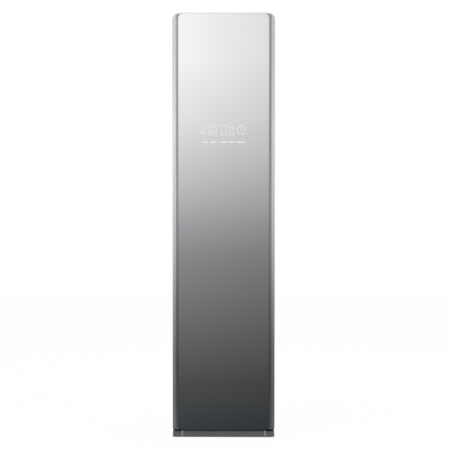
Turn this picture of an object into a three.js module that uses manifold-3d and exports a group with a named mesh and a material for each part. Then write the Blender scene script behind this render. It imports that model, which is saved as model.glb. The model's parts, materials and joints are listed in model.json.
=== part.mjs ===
// Clothes care steam cabinet with a mirror glass door.
// Millimetres. +Z is up, the door faces -Y, and +X is to the right seen from the front.
import * as THREE from 'three';
import Module from 'manifold-3d';
import { mergeVertices } from 'three/addons/utils/BufferGeometryUtils.js';

const wasm = await Module();
wasm.setup();

// Overall sizes
const height = 1850;
const depth = 585;
const doorWidth = 445;
const doorReveal = 0.5;

// Clearances shared by the whole cabinet
const fit = 0.3;
const runningGap = 1;
const overrun = 20;
const weld = 0.001;

// Base and feet
const baseHeight = 26;
const baseGap = 5;
const baseSetBack = 12.5;
const coverLift = 2;
const coverWall = 2.5;
const coverEdge = 1;
const baseWall = 2;
const sillHeight = 34;
const sillDepth = 28;
const legCoverWidth = 44.5;
const kickJoint = 3;
const legCorner = 8;
const footInset = 22;
const footFrontSet = 62;
const footRearSet = 32;
const footRadius = 16;
const footPad = 5;
const footStem = 5;
const footStemRise = 15;
const footTravelRoom = 2;
const bossRadius = 11;
const machineSlotLength = 90;
const machineSlotWidth = 6;
const machineSlotPitch = 18;
const machineSlotX = 75;
const machineSlotSet = 172.5;
const machineSlotCount = 4;

// Cabinet shell
const sheet = 1.5;
const flangeWidth = 29.5;
const rearFlange = 20;
const rearInset = 3.5;
const topDrop = 12;
const topFlange = 15;
const railHeight = 91;
const railDepth = 28;
const railTab = 5;
const beadWidth = 26;
const beadDepth = 4;
const beadEdge = 3;
const beadSpread = 120;
const beadMargin = 60;
const serviceHeight = 400;
const serviceRim = 18;
const servicePan = 12;
const louvreCentreGap = 35;
const louvrePitch = 18;
const louvreSlot = 5;
const louvreHood = 4;
const louvreMargin = 26;
const louvreBottom = 110;
const louvreCount = 6;
const glandRadius = 11;
const glandBore = 4.5;
const glandLength = 12;
const glandFlange = 15;
const glandFlangeThick = 2.5;
const glandInset = 31;
const glandZ = 68;

// Door
const doorThickness = 58;
const doorGap = 6.5;
const doorCorner = 30;
const doorCornerLow = 12;
const doorEdge = 4;
const trimWidth = 25;
const glassMargin = 2;
const glassCorner = 15;
const glassThick = 4;
const glassSet = 1;
const grooveWidth = 10.5;
const grooveDepth = 4.5;
const coveRadius = 4;
const grooveCorner = 10;
const grooveEndLow = 11;
const grooveEndHigh = 4;
const frameFace = 9;
const frameWall = 4;
const glassLedge = 11.5;
const windowMargin = 14;
const coreWall = 3;
const ribPitch = 300;
const linerPlate = 5.5;
const linerInset = 3;
const linerSkin = 3;
const plateauInset = 17.5;
const plateauRise = 20;
const plateauCorner = 22;
const plateauEdge = 6;
const plateauBottomRise = 32;
const plateauTopDrop = 12;
const gasketWidth = 12;
const gasketInset = 1.5;
const gasketLip = 1.2;
const gripLength = 400;
const gripRise = 849;
const gripInset = 18;
const gripDepth = 22;
const gripCorner = 6;
const gripWall = 2.5;
const touchWidth = 210;
const touchHeight = 100;
const touchDrop = 575;

// Door hinge
const hingeInset = 14;
const hingeBack = 23.5;
const pinRadius = 5;
const pinLength = 20;
const pinGap = 0.3;
const bushRadius = 9;
const bushLength = 24;
const armHalf = 8;
const armPlate = 3;
const upperArmLength = 78;
const hingeRoom = 2;
const hingeRecessHalf = 18;
const hingeRecessFront = 11.5;
const hingeCoverWall = 1.5;
const hingeCoverLength = 90;
const hingeCoverWidth = 44;
const hingeCoverEdge = 2.2;
const hingeCoverCorner = 9;
const screwRadius = 4.5;
const screwHead = 1.5;
const screwSpacing = 34;

// Treatment chamber
const linerWall = 3;
const floorHeight = 400;
const backLinerSet = 42.5;
const ledgeHeight = 530;
const ledgeThick = 8;
const ledgeReach = 7;
const ledgeMargin = 30;
const fluteWidth = 10;
const fluteRise = 2;
const flutePitch = 90;
const fluteBottomGap = 190;
const fluteTopGap = 220;
const ductWidth = 150;
const ductRise = 14;
const ductEdge = 5;
const ductTopGap = 244.6;
const ductBottomGap = 200;
const lampWidth = 120;
const lampDepth = 26;
const lampSet = 76.2;
const lampDrop = 4;
const lampFlange = 5;
const lampEdge = 1.5;

// Hanger drive
const hangerOffset = 2.25;
const barRadius = 8;
const barEndGap = 12.5;
const barDrop = 55;
const barTravel = 15;
const barNotch = 1.5;
const barNotchWidth = 8;
const barEndEdge = 2;
const stemWidth = 22;
const stemThick = 10;
const stemInset = 60;
const carriageOverhang = 15;
const carriageWidth = 30;
const carriageThick = 8;
const carriageRise = 8;
const driveEndGap = 12.5;
const driveWidth = 74;
const driveHeight = 62;
const driveWall = 2.5;
const driveEdge = 4;
const driveMotorRadius = 26;
const driveMotorLength = 70;
const driveMotorFoot = 40;
const driveShaftRadius = 5;

// Shoulder hangers
const hangerSpread = 55;
const hangerEndGap = 32.25;
const hangerThick = 13;
const hangerEdge = 3;
const hangerNeckDrop = 52;
const hangerSlope = 62;
const hangerArm = 16;
const hangerTipArm = 30;
const hookWire = 2.2;
const hookRoom = 1.6;
const hookReach = 14;

// Trouser press
const pressSideGap = 27;
const pressRise = 208;
const pressHeadroom = 333.2;
const pressThick = 12;
const pressEdge = 3;
const pressStand = 7.2;
const pressPadThick = 4;
const pressPadMargin = 16;
const pressHingeSet = 25;
const pressHingeInset = 8;
const pressPin = 3;
const pressBarrel = 6;
const pressLug = 12;
const pressLugWidth = 18;
const pressLugReach = 7;
const pressRibs = 6;
const pressRibRise = 1.5;
const pressRibWidth = 6;
const pressPullWidth = 60;
const pressPullDepth = 7;
const clipWidth = 90;
const clipEar = 6;
const clipEarHeight = 32;
const clipJawThick = 4;
const clipJawDrop = 28;
const clipLever = 18;
const clipPin = 2.2;
const clipForward = 5;

// Shelf and lint filter
const shelfThick = 12;
const shelfWall = 2.5;
const shelfSideGap = 2;
const shelfFrontGap = 56.2;
const shelfBackGap = 25;
const shelfCorner = 12;
const shelfSlotWidth = 10;
const shelfSlotPitch = 34;
const shelfSlotMargin = 40;
const filterWidth = 160;
const filterDepth = 40;
const filterSet = 29.5;
const filterDrop = 55;
const filterFlange = 8;
const filterFlangeThick = 3;
const filterWall = 2.5;
const filterHandleWidth = 50;
const filterHandleRise = 9;
const filterHandleThick = 5;
const filterRibs = 7;

// Water tanks and their bay
const tankGap = 6;
const tankSideGap = 8.7;
const tankDepth = 110;
const tankTall = 305;
const tankSetBack = 38;
const tankWall = 2.5;
const tankCorner = 12;
const tankEdge = 4;
const tankLift = 3;
const tankGripWidth = 90;
const tankGripHeight = 34;
const tankGripDepth = 22;
const tankGripDrop = 60;
const neckRadius = 24;
const neckRise = 6;
const neckWall = 3;
const bayWall = 2.5;
const bayRoom = 6;

// Machine room
const fanX = 58;
const fanZ = 275;
const fanSet = 20;
const scrollWall = 2.5;
const wheelRadius = 60;
const wheelWidth = 50;
const wheelSideGap = 7;
const scrollGap = 7;
const scrollGrowth = 30;
const neckWidth = 60;
const inletRadius = 46;
const bladeCount = 24;
const bladeDepth = 13;
const bladeThick = 1.2;
const bladeBow = 3;
const wheelPlate = 2;
const wheelRing = 6;
const hubRadius = 12;
const fanShaft = 4;
const fanShaftGap = 0.3;
const blowerMotorRadius = 38;
const blowerMotorLength = 52;
const blowerMotorEdge = 5;
const coilWidth = 210;
const coilDepth = 35;
const coilBottom = 110;
const coilTall = 190;
const coilGap = 10;
const coilSet = 11.5;
const finThick = 1.2;
const finCount = 11;
const coilTube = 4;
const coilTubeCount = 3;
const endPlate = 3;
const compressorSideSet = 92;
const compressorBackSet = 102.5;
const compressorRadius = 50;
const compressorTall = 150;
const compressorDome = 22;
const compressorFoot = 68;
const compressorFootThick = 5;
const boilerSideSet = 100;
const boilerBackSet = 74.5;
const boilerWidth = 120;
const boilerDepth = 84;
const boilerTall = 110;
const boilerWall = 4;
const boilerEdge = 6;
const riserRadius = 9;
const riserBore = 6;
const nozzleRadius = 22;
const nozzleRise = 8;
const nozzleStem = 8.5;
const nozzleBore = 5;
const nozzleStemDrop = 9;
const pumpSideSet = 57;
const pumpSet = 51.5;
const pumpRadius = 20;
const pumpLength = 54;
const pumpFootThick = 6;
const pumpFootWidth = 50;
const controlDepth = 38;
const controlWidth = 170;
const controlBackSet = 232.5;
const controlZ = 240;
const controlTall = 130;
const controlEdge = 3;
const controlRibs = 5;
const controlRibWidth = 4;
const controlRibRise = 2;
const grilleSlats = 6;
const grilleFrame = 6;
const grilleThick = 4;
const grilleSlatWidth = 3;

// Steps of the round surfaces: an arc of an outline takes two for each one named here
const cornerSteps = 1;
const doorSteps = 3;
const edgeSteps = 2;
const roundSteps = 16;
const pinSteps = 12;
const tubeSteps = 4;

// Places worked out from the sizes
const frontY = -depth / 2;
const backY = depth / 2;
const doorHalf = doorWidth / 2;
const bodyHalf = doorHalf - doorReveal;
const glassHalf = doorHalf - trimWidth;
const windowHalf = glassHalf - glassLedge;
const doorBottom = baseHeight + baseGap;
const doorBack = frontY + doorThickness;
const bodyFront = doorBack + doorGap;
const bodyTop = height - topDrop;
const linerHalf = bodyHalf - flangeWidth;
const insideHalf = bodyHalf - sheet - fit;
const panelTop = bodyTop - sheet - fit;
const sillTop = baseHeight + sillHeight;
const ceilingZ = panelTop - railHeight;
const chamberBack = backY - backLinerSet;
const linerFront = bodyFront + sheet + fit;
const linerBottom = floorHeight + fit;
const linerTop = ceilingZ - fit;
const kickHalf = bodyHalf - legCoverWidth - kickJoint;
const footX = bodyHalf - footInset;
const machineSlotY = backY - machineSlotSet;
const panHalf = bodyHalf - sheet - serviceRim - rearFlange;
const louvreWidth = panHalf - louvreCentreGap - louvreMargin;
const louvreX = louvreCentreGap + louvreWidth / 2;
const glandX = -panHalf + glandInset;
const framedBack = doorBack - linerPlate - fit;
const glassFront = frontY + glassSet;
const glassBack = glassFront + glassThick;
const coreFront = frontY + frameFace + fit;
const hingeX = doorHalf - hingeInset;
const hingeY = doorBack - hingeBack;
const gripBottom = doorBottom + gripRise;
const touchBottom = height - touchDrop;
const plateauHalf = linerHalf - plateauInset;
const plateauFace = doorBack + plateauRise;
const plateauBottom = floorHeight + plateauBottomRise;
const plateauTop = ceilingZ - plateauTopDrop;
const ductHeight = linerTop - linerBottom - ductBottomGap - ductTopGap;
const lampY = linerFront + lampSet;
const pressY = plateauFace + pressStand + pressPadThick + fit;
const pressMiddle = pressY + pressThick / 2;
const pressBottom = plateauBottom + pressRise;
const pressTop = plateauTop - pressHeadroom;
const pressHingeX = plateauHalf - pressHingeSet;
const pressRight = pressHingeX - pressHingeInset;
const pressLeft = pressSideGap - plateauHalf;
const pressWidth = pressRight - pressLeft;
const pressCentre = (pressLeft + pressRight) / 2;
const hangerY = (plateauFace + chamberBack) / 2 + hangerOffset;
const hangerSpan = chamberBack - plateauFace - 2 * hangerEndGap;
const barZ = ceilingZ - barDrop;
const barLength = 2 * (linerHalf - barTravel - barEndGap);
const stemSpread = barLength - 2 * stemInset;
const carriageLength = stemSpread + 2 * carriageOverhang;
const driveLength = carriageLength + 2 * (barTravel + driveWall + driveEndGap);
const shelfFront = linerFront + shelfFrontGap;
const shelfBack = chamberBack - shelfBackGap;
const bayHalf = linerHalf - fit;
const bayFloor = sillTop + fit;
const tankFront = bodyFront + tankSetBack;
const tankWidth = bayHalf - bayWall - tankGap / 2 - tankSideGap;
const tankBottom = bayFloor + bayWall + tankLift;
const tankTop = tankBottom + tankTall;
const bayBack = tankFront + tankDepth + bayRoom + bayWall;
const coilFront = bayBack + coilSet;
const filterY = bayBack + filterSet;
const fanFront = coilFront + 2 * coilDepth + coilGap + fanSet;
const wheelFront = fanFront + scrollWall + wheelSideGap;
const wheelBack = wheelFront + wheelWidth;
const scrollBack = wheelBack + wheelSideGap + scrollWall;
const scrollStart = wheelRadius + scrollGap;
const compressorX = compressorSideSet - bodyHalf;
const compressorY = backY - compressorBackSet;
const boilerX = bodyHalf - boilerSideSet;
const boilerY = backY - boilerBackSet;
const pumpX = pumpSideSet - bodyHalf;
const pumpY = bayBack + pumpSet;
const controlY = backY - controlBackSet;

// Closed three.js geometry turned into a solid that can be joined and cut
function solid(geometry, matrix) {
  const shell = geometry.clone();
  shell.deleteAttribute('normal');
  shell.deleteAttribute('uv');
  if (matrix) shell.applyMatrix4(matrix);
  const merged = mergeVertices(shell, weld);
  const index = merged.index.array;
  const faces = [];
  for (let i = 0; i < index.length; i += 3) {
    const [a, b, c] = [index[i], index[i + 1], index[i + 2]];
    if (a !== b && b !== c && c !== a) faces.push(a, b, c);
  }
  const vertProperties = Float32Array.from(merged.attributes.position.array);
  const triVerts = Uint32Array.from(faces);
  return new wasm.Manifold(new wasm.Mesh({ numProp: 3, vertProperties, triVerts }));
}

function join(...bodies) {
  return bodies.reduce((whole, body) => whole.add(body));
}

function cut(body, ...tools) {
  return tools.reduce((whole, tool) => whole.subtract(tool), body);
}

// Turns that lay an outline drawn in its own plane into the cabinet's frame
const layFront = new THREE.Matrix4().makeBasis(
  new THREE.Vector3(1, 0, 0), new THREE.Vector3(0, 0, 1), new THREE.Vector3(0, -1, 0));
const laySide = new THREE.Matrix4().makeBasis(
  new THREE.Vector3(0, 1, 0), new THREE.Vector3(0, 0, 1), new THREE.Vector3(1, 0, 0));

function extrude(shape, thickness, edge, curveSegments) {
  const bevelSegments = curveSegments > cornerSteps ? edgeSteps : 1;
  const settings = edge > 0
    ? { depth: thickness - 2 * edge, bevelEnabled: true, bevelThickness: edge, bevelSize: edge,
        bevelOffset: -edge, bevelSegments, curveSegments }
    : { depth: thickness, bevelEnabled: false, curveSegments };
  const geometry = new THREE.ExtrudeGeometry(shape, settings);
  return edge > 0 ? geometry.translate(0, 0, edge) : geometry;
}

// Outline in X and Z, between two Y planes
function front(shape, y0, y1, edge = 0, steps = cornerSteps) {
  const move = new THREE.Matrix4().makeTranslation(0, y1, 0);
  return solid(extrude(shape, y1 - y0, edge, steps), move.multiply(layFront));
}

// Outline in X and Y, between two Z planes
function plan(shape, z0, z1, edge = 0, steps = cornerSteps) {
  return solid(extrude(shape, z1 - z0, edge, steps), new THREE.Matrix4().makeTranslation(0, 0, z0));
}

// Outline in Y and Z, between two X planes
function side(shape, x0, x1, edge = 0, steps = cornerSteps) {
  const move = new THREE.Matrix4().makeTranslation(x0, 0, 0);
  return solid(extrude(shape, x1 - x0, edge, steps), move.multiply(laySide));
}

function block(x0, x1, y0, y1, z0, z1) {
  const box = new THREE.BoxGeometry(x1 - x0, y1 - y0, z1 - z0);
  const move = new THREE.Matrix4();
  return solid(box, move.makeTranslation((x0 + x1) / 2, (y0 + y1) / 2, (z0 + z1) / 2));
}

// Rectangle with round corners: the two lower ones take a radius of their own where one is given
function rect(u0, u1, v0, v1, radius = 0, lowRadius = radius) {
  const shape = new THREE.Shape();
  const most = Math.min((u1 - u0) / 2, (v1 - v0) / 2);
  const r = Math.min(radius, most);
  const rLow = Math.min(lowRadius, most);
  if (r <= 0) {
    shape.moveTo(u0, v0).lineTo(u1, v0).lineTo(u1, v1).lineTo(u0, v1).closePath();
    return shape;
  }
  const quarter = Math.PI / 2;
  shape.moveTo(u0 + rLow, v0);
  shape.lineTo(u1 - rLow, v0).absarc(u1 - rLow, v0 + rLow, rLow, -quarter, 0);
  shape.lineTo(u1, v1 - r).absarc(u1 - r, v1 - r, r, 0, quarter);
  shape.lineTo(u0 + r, v1).absarc(u0 + r, v1 - r, r, quarter, 2 * quarter);
  shape.lineTo(u0, v0 + rLow).absarc(u0 + rLow, v0 + rLow, rLow, 2 * quarter, 3 * quarter);
  return shape;
}

// Rods and turned pieces on each axis, from one plane to the next
function rodZ(x, y, z0, z1, radius, steps = pinSteps) {
  const rod = new THREE.CylinderGeometry(radius, radius, z1 - z0, steps);
  const turn = new THREE.Matrix4().makeRotationX(Math.PI / 2);
  return solid(rod, new THREE.Matrix4().makeTranslation(x, y, (z0 + z1) / 2).multiply(turn));
}

function rodY(x, z, y0, y1, radius, steps = pinSteps) {
  const rod = new THREE.CylinderGeometry(radius, radius, y1 - y0, steps);
  return solid(rod, new THREE.Matrix4().makeTranslation(x, (y0 + y1) / 2, z));
}

function rodX(y, z, x0, x1, radius, steps = pinSteps) {
  const rod = new THREE.CylinderGeometry(radius, radius, x1 - x0, steps);
  const turn = new THREE.Matrix4().makeRotationZ(Math.PI / 2);
  return solid(rod, new THREE.Matrix4().makeTranslation((x0 + x1) / 2, y, z).multiply(turn));
}

// Profile of radius and height turned about the upright line through x, y
function turned(profile, x, y, steps = roundSteps) {
  const points = profile.map(([radius, z]) => new THREE.Vector2(radius, z));
  const turn = new THREE.Matrix4().makeRotationX(Math.PI / 2);
  return solid(new THREE.LatheGeometry(points, steps),
    new THREE.Matrix4().makeTranslation(x, y, 0).multiply(turn));
}

// Same profile turned about the line that runs from front to back through x, z
function turnedY(profile, x, z, steps = roundSteps) {
  const points = profile.map(([radius, y]) => new THREE.Vector2(radius, y));
  return solid(new THREE.LatheGeometry(points, steps), new THREE.Matrix4().makeTranslation(x, 0, z));
}

// Same profile turned about the line that runs from left to right through y, z
function turnedX(profile, y, z, steps = roundSteps) {
  const points = profile.map(([radius, x]) => new THREE.Vector2(radius, x));
  const turn = new THREE.Matrix4().makeRotationZ(-Math.PI / 2);
  return solid(new THREE.LatheGeometry(points, steps),
    new THREE.Matrix4().makeTranslation(0, y, z).multiply(turn));
}

// Finishes
const finishes = {
  mirror: { color: 0xa7aaad, roughness: 0.06, metalness: 0.9 },
  satin: { color: 0xc9cbcd, roughness: 0.3, metalness: 0.85 },
  darkTrim: { color: 0x55595c, roughness: 0.5, metalness: 0.2 },
  shellPaint: { color: 0x9a9ea2, roughness: 0.42, metalness: 0.25 },
  liner: { color: 0xe4e6e8, roughness: 0.45, metalness: 0 },
  steel: { color: 0x8f9396, roughness: 0.4, metalness: 0.9 },
  zinc: { color: 0xb4b8ba, roughness: 0.5, metalness: 0.8 },
  blackPlastic: { color: 0x1e2022, roughness: 0.55, metalness: 0 },
  greyPlastic: { color: 0x6b7074, roughness: 0.5, metalness: 0 },
  rubber: { color: 0x3a3d40, roughness: 0.85, metalness: 0 },
  tank: { color: 0xb9cdd8, roughness: 0.25, metalness: 0 },
  fin: { color: 0xc4c8ca, roughness: 0.35, metalness: 0.9 },
  pad: { color: 0xcfd1d2, roughness: 0.95, metalness: 0 },
  lens: { color: 0xf4f6f7, roughness: 0.3, metalness: 0 },
};

// Adds a piece to its group, with its own origin and its own material
function addPart(group, name, body, finish, origin) {
  const data = body.getMesh();
  const geometry = new THREE.BufferGeometry();
  geometry.setAttribute('position', new THREE.BufferAttribute(data.vertProperties, 3));
  geometry.setIndex(new THREE.BufferAttribute(data.triVerts, 1));
  geometry.translate(-origin[0], -origin[1], -origin[2]);
  geometry.computeVertexNormals();
  const mesh = new THREE.Mesh(geometry, new THREE.MeshStandardMaterial(finishes[finish]));
  mesh.name = name;
  group.updateWorldMatrix(true, false);
  mesh.position.copy(group.worldToLocal(new THREE.Vector3(...origin)));
  group.add(mesh);
  return mesh;
}

function groupAt(parent, x, y, z) {
  const group = new THREE.Group();
  parent.updateWorldMatrix(true, false);
  group.position.copy(parent.worldToLocal(new THREE.Vector3(x, y, z)));
  parent.add(group);
  return group;
}

const group = new THREE.Group();
const cabinet = groupAt(group, 0, 0, 0);
const door = groupAt(group, hingeX, hingeY, doorBottom);
const press = groupAt(door, pressHingeX, pressMiddle, pressBottom);
const hangerDrive = groupAt(group, 0, hangerY, barZ);

// Base frame: a pressed tray turned upside down, with foot bosses and a raised front sill
const baseFront = frontY + baseSetBack;
const trayFront = baseFront + legCorner + coverWall;
const trayHalf = bodyHalf - fit;
const footFrontY = frontY + footFrontSet;
const footRearY = backY - footRearSet;
const trayBottom = footPad + footTravelRoom;
const coverTop = baseHeight;
const trayTop = baseHeight - fit;

function baseFrame() {
  const sill = join(
    block(-linerHalf + fit, linerHalf - fit, bodyFront, bodyFront + baseWall, trayTop - baseWall, sillTop),
    block(-linerHalf + fit, linerHalf - fit, bodyFront, bodyFront + sillDepth, sillTop - baseWall, sillTop));
  let frame = block(-trayHalf, trayHalf, trayFront, backY - rearInset, trayBottom, trayTop);
  frame = cut(frame, block(-trayHalf + baseWall, trayHalf - baseWall, trayFront + baseWall,
    backY - rearInset - baseWall, trayBottom - overrun, trayTop - baseWall));
  frame = frame.add(sill);
  for (const x of [-footX, footX]) {
    for (const y of [footFrontY, footRearY]) {
      frame = frame.add(rodZ(x, y, trayBottom, trayTop - baseWall / 2, bossRadius));
      const boreTop = footPad + footStemRise + runningGap;
      frame = cut(frame, rodZ(x, y, trayBottom - overrun, boreTop, footStem + fit));
    }
  }
  for (let i = 0; i < machineSlotCount; i += 1) {
    const y = machineSlotY + (i - (machineSlotCount - 1) / 2) * machineSlotPitch;
    const slot = rect(machineSlotX - machineSlotLength, machineSlotX, y - machineSlotWidth / 2,
      y + machineSlotWidth / 2, machineSlotWidth / 2);
    frame = cut(frame, plan(slot, trayTop - baseWall - fit, trayTop + overrun, 0, cornerSteps));
  }
  return frame;
}

addPart(cabinet, 'base_frame', baseFrame(), 'zinc', [0, 0, trayBottom]);

// Feet: two that screw down at the front and two fixed ones at the rear
function foot(x, y) {
  const pad = turned([[0, 0], [footRadius - 2 * fit, 0], [footRadius, footPad / 2],
    [footRadius * 0.8, footPad], [0, footPad]], x, y);
  return pad.add(rodZ(x, y, footPad / 2, footPad + footStemRise, footStem));
}

addPart(groupAt(group, -footX, footFrontY, 0), 'front_left_foot', foot(-footX, footFrontY),
  'blackPlastic', [-footX, footFrontY, 0]);
addPart(groupAt(group, footX, footFrontY, 0), 'front_right_foot', foot(footX, footFrontY),
  'blackPlastic', [footX, footFrontY, 0]);
addPart(cabinet, 'rear_left_foot', foot(-footX, footRearY), 'blackPlastic',
  [-footX, footRearY, 0]);
addPart(cabinet, 'rear_right_foot', foot(footX, footRearY), 'blackPlastic',
  [footX, footRearY, 0]);

// Kick cover and the two leg covers that hide the front feet
const coverBack = trayFront - fit;

function kickCover() {
  const face = front(rect(-kickHalf, kickHalf, coverLift, coverTop), baseFront, coverBack, coverEdge);
  const hollow = block(-kickHalf + coverWall, kickHalf - coverWall, baseFront + coverWall,
    coverBack + overrun, coverLift - overrun, coverTop - coverWall);
  return cut(face, hollow);
}

function legCover(sign) {
  const inner = kickHalf + kickJoint;
  const outline = new THREE.Shape();
  outline.moveTo(inner, baseFront).lineTo(bodyHalf - legCorner, baseFront);
  outline.absarc(bodyHalf - legCorner, baseFront + legCorner, legCorner, -Math.PI / 2, 0);
  outline.lineTo(bodyHalf, coverBack).lineTo(inner, coverBack).closePath();
  const hollow = block(inner + coverWall, bodyHalf - coverWall, baseFront + coverWall,
    coverBack + overrun, coverLift - overrun, coverTop - coverWall);
  const cover = cut(plan(outline, coverLift, coverTop, coverEdge), hollow);
  return sign > 0 ? cover : cover.mirror([1, 0, 0]);
}

addPart(cabinet, 'kick_cover', kickCover(), 'darkTrim', [0, baseFront, coverLift]);
addPart(cabinet, 'left_leg_cover', legCover(-1), 'darkTrim', [-bodyHalf, baseFront, coverLift]);
addPart(cabinet, 'right_leg_cover', legCover(1), 'darkTrim', [bodyHalf, baseFront, coverLift]);

// Side panels: one folded sheet each, with a wide front flange that the door seal meets
const flangeBackY = backY - rearInset;
const ceilingBack = flangeBackY + sheet + fit - beadDepth - fit;
const floorBack = backY - servicePan - sheet - fit;

function sidePanel(sign) {
  const s = sheet;
  const outline = new THREE.Shape();
  outline.moveTo(linerHalf, bodyFront).lineTo(bodyHalf, bodyFront).lineTo(bodyHalf, flangeBackY + s);
  outline.lineTo(bodyHalf - rearFlange, flangeBackY + s).lineTo(bodyHalf - rearFlange, flangeBackY);
  outline.lineTo(bodyHalf - s, flangeBackY).lineTo(bodyHalf - s, bodyFront + s);
  outline.lineTo(linerHalf, bodyFront + s).closePath();
  const panel = plan(outline, baseHeight, panelTop);
  return sign > 0 ? panel : panel.mirror([1, 0, 0]);
}

addPart(cabinet, 'left_side_panel', sidePanel(-1), 'shellPaint', [-bodyHalf, bodyFront, baseHeight]);
addPart(cabinet, 'right_side_panel', sidePanel(1), 'shellPaint', [bodyHalf, bodyFront, baseHeight]);

// Rear panel with pressed beads, and the louvred service cover below it
const rearFace = flangeBackY + sheet + fit;
const rearHalf = bodyHalf - sheet;
const serviceTop = baseHeight + serviceHeight;

function rearPanel() {
  let panel = block(-rearHalf, rearHalf, rearFace, backY, serviceTop + fit, panelTop);
  for (const x of [-beadSpread, 0, beadSpread]) {
    const bead = rect(x - beadWidth / 2, x + beadWidth / 2, serviceTop + beadMargin,
      panelTop - beadMargin, beadWidth / 2);
    panel = panel.add(front(bead, rearFace - beadDepth, rearFace + sheet / 2, beadEdge / 2, cornerSteps));
  }
  return panel;
}

function serviceCover() {
  const panBottom = baseHeight + serviceRim;
  const panTop = serviceTop - serviceRim;
  const panY = backY - servicePan;
  let cover = block(-rearHalf, rearHalf, rearFace, backY, baseHeight, serviceTop);
  cover = cover.add(front(rect(-panHalf, panHalf, panBottom, panTop, beadEdge), panY - sheet,
    rearFace + sheet / 2));
  cover = cut(cover, front(rect(-panHalf + sheet, panHalf - sheet, panBottom + sheet, panTop - sheet,
    beadEdge), panY, backY + overrun));
  for (let i = 0; i < louvreCount; i += 1) {
    const z = louvreBottom + i * louvrePitch;
    for (const x of [-louvreX, louvreX]) {
      const hood = new THREE.Shape();
      hood.moveTo(panY - sheet / 2, z + louvreSlot + sheet).lineTo(panY + louvreHood, z + sheet);
      hood.lineTo(panY + louvreHood, z).lineTo(panY - sheet / 2, z + louvreSlot).closePath();
      cover = cut(cover, block(x - louvreWidth / 2, x + louvreWidth / 2, panY - overrun, panY + fit,
        z, z + louvreSlot));
      cover = cover.add(side(hood, x - louvreWidth / 2 - sheet, x + louvreWidth / 2 + sheet));
    }
  }
  return cut(cover, rodY(glandX, glandZ, panY - overrun, panY + overrun, glandRadius + fit,
    roundSteps));
}

function cordGland() {
  const panY = backY - servicePan;
  const start = panY - sheet - glandLength / 2;
  const profile = [[glandBore, start], [glandRadius, start], [glandRadius, panY + fit],
    [glandFlange, panY + fit], [glandFlange, panY + fit + glandFlangeThick],
    [glandRadius * 0.7, panY + glandLength - glandFlangeThick],
    [glandBore, panY + glandLength - glandFlangeThick], [glandBore, start]];
  return turnedY(profile, glandX, glandZ);
}

addPart(cabinet, 'rear_panel', rearPanel(), 'zinc', [0, backY, serviceTop]);
addPart(cabinet, 'rear_service_cover', serviceCover(), 'zinc', [0, backY, baseHeight]);
addPart(cabinet, 'cord_gland', cordGland(), 'blackPlastic', [glandX, backY, glandZ]);

// Top cover: a shallow lid that sits on the side panels
function topCover() {
  const lid = plan(rect(-bodyHalf, bodyHalf, bodyFront, backY), panelTop + fit, bodyTop, sheet / 3);
  const rim = block(-insideHalf, insideHalf, bodyFront + 2 * sheet, flangeBackY - fit,
    panelTop + fit - topFlange, bodyTop - sheet / 2);
  const inside = block(-insideHalf + sheet, insideHalf - sheet, bodyFront + 3 * sheet,
    flangeBackY - fit - sheet, panelTop - topFlange - overrun, panelTop + fit);
  return cut(lid.add(rim), inside);
}

// Front top rail: a C section between the side flanges, with tabs behind them
function topRail() {
  const railTop = panelTop - topFlange - fit;
  const half = linerHalf - fit;
  const outline = new THREE.Shape();
  outline.moveTo(bodyFront, ceilingZ).lineTo(bodyFront + railDepth, ceilingZ);
  outline.lineTo(bodyFront + railDepth, ceilingZ + sheet).lineTo(bodyFront + sheet, ceilingZ + sheet);
  outline.lineTo(bodyFront + sheet, panelTop).lineTo(bodyFront, panelTop).closePath();
  const tabs = block(-insideHalf, insideHalf, bodyFront + sheet + fit, bodyFront + 2 * sheet + fit,
    ceilingZ + railTab, railTop - railTab);
  const stiffener = block(-half, half, bodyFront + sheet / 2, bodyFront + railDepth / 2,
    railTop - railTab - sheet, railTop - railTab);
  const joinTabs = block(-half, half, bodyFront + sheet / 2, bodyFront + 2 * sheet,
    ceilingZ + railTab, railTop - railTab);
  return join(side(outline, -half, half), tabs, joinTabs, stiffener);
}

addPart(cabinet, 'top_cover', topCover(), 'shellPaint', [0, 0, bodyTop]);
addPart(cabinet, 'top_rail', topRail(), 'shellPaint', [0, bodyFront, ceilingZ]);

// Chamber walls
function sideLiner(sign) {
  let wall = block(linerHalf, linerHalf + linerWall, linerFront, chamberBack + linerWall,
    linerBottom, linerTop);
  const ledge = side(rect(linerFront + ledgeMargin, chamberBack - ledgeMargin, ledgeHeight - ledgeThick,
    ledgeHeight, ledgeThick / 2), linerHalf - ledgeReach, linerHalf + linerWall / 2, 0, cornerSteps);
  wall = wall.add(ledge);
  for (let y = linerFront + flutePitch; y < chamberBack - fluteWidth; y += flutePitch) {
    const flute = rect(y - fluteWidth / 2, y + fluteWidth / 2, linerBottom + fluteBottomGap,
      linerTop - fluteTopGap, fluteWidth / 2);
    wall = wall.add(side(flute, linerHalf - fluteRise, linerHalf + linerWall / 2, 0, cornerSteps));
  }
  return sign > 0 ? wall : wall.mirror([1, 0, 0]);
}

function backLiner() {
  const half = linerHalf - fit;
  const wall = block(-half, half, chamberBack, chamberBack + linerWall, linerBottom, linerTop);
  const ductBottom = linerBottom + ductBottomGap;
  const duct = front(rect(-ductWidth / 2, ductWidth / 2, ductBottom, ductBottom + ductHeight,
    ductEdge * 2), chamberBack, chamberBack + linerWall + ductRise, ductEdge);
  const hollow = front(rect(-ductWidth / 2 + linerWall, ductWidth / 2 - linerWall,
    ductBottom + linerWall, ductBottom + ductHeight - linerWall, ductEdge), chamberBack - overrun,
  chamberBack + ductRise);
  return cut(wall.add(duct), hollow);
}

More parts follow.
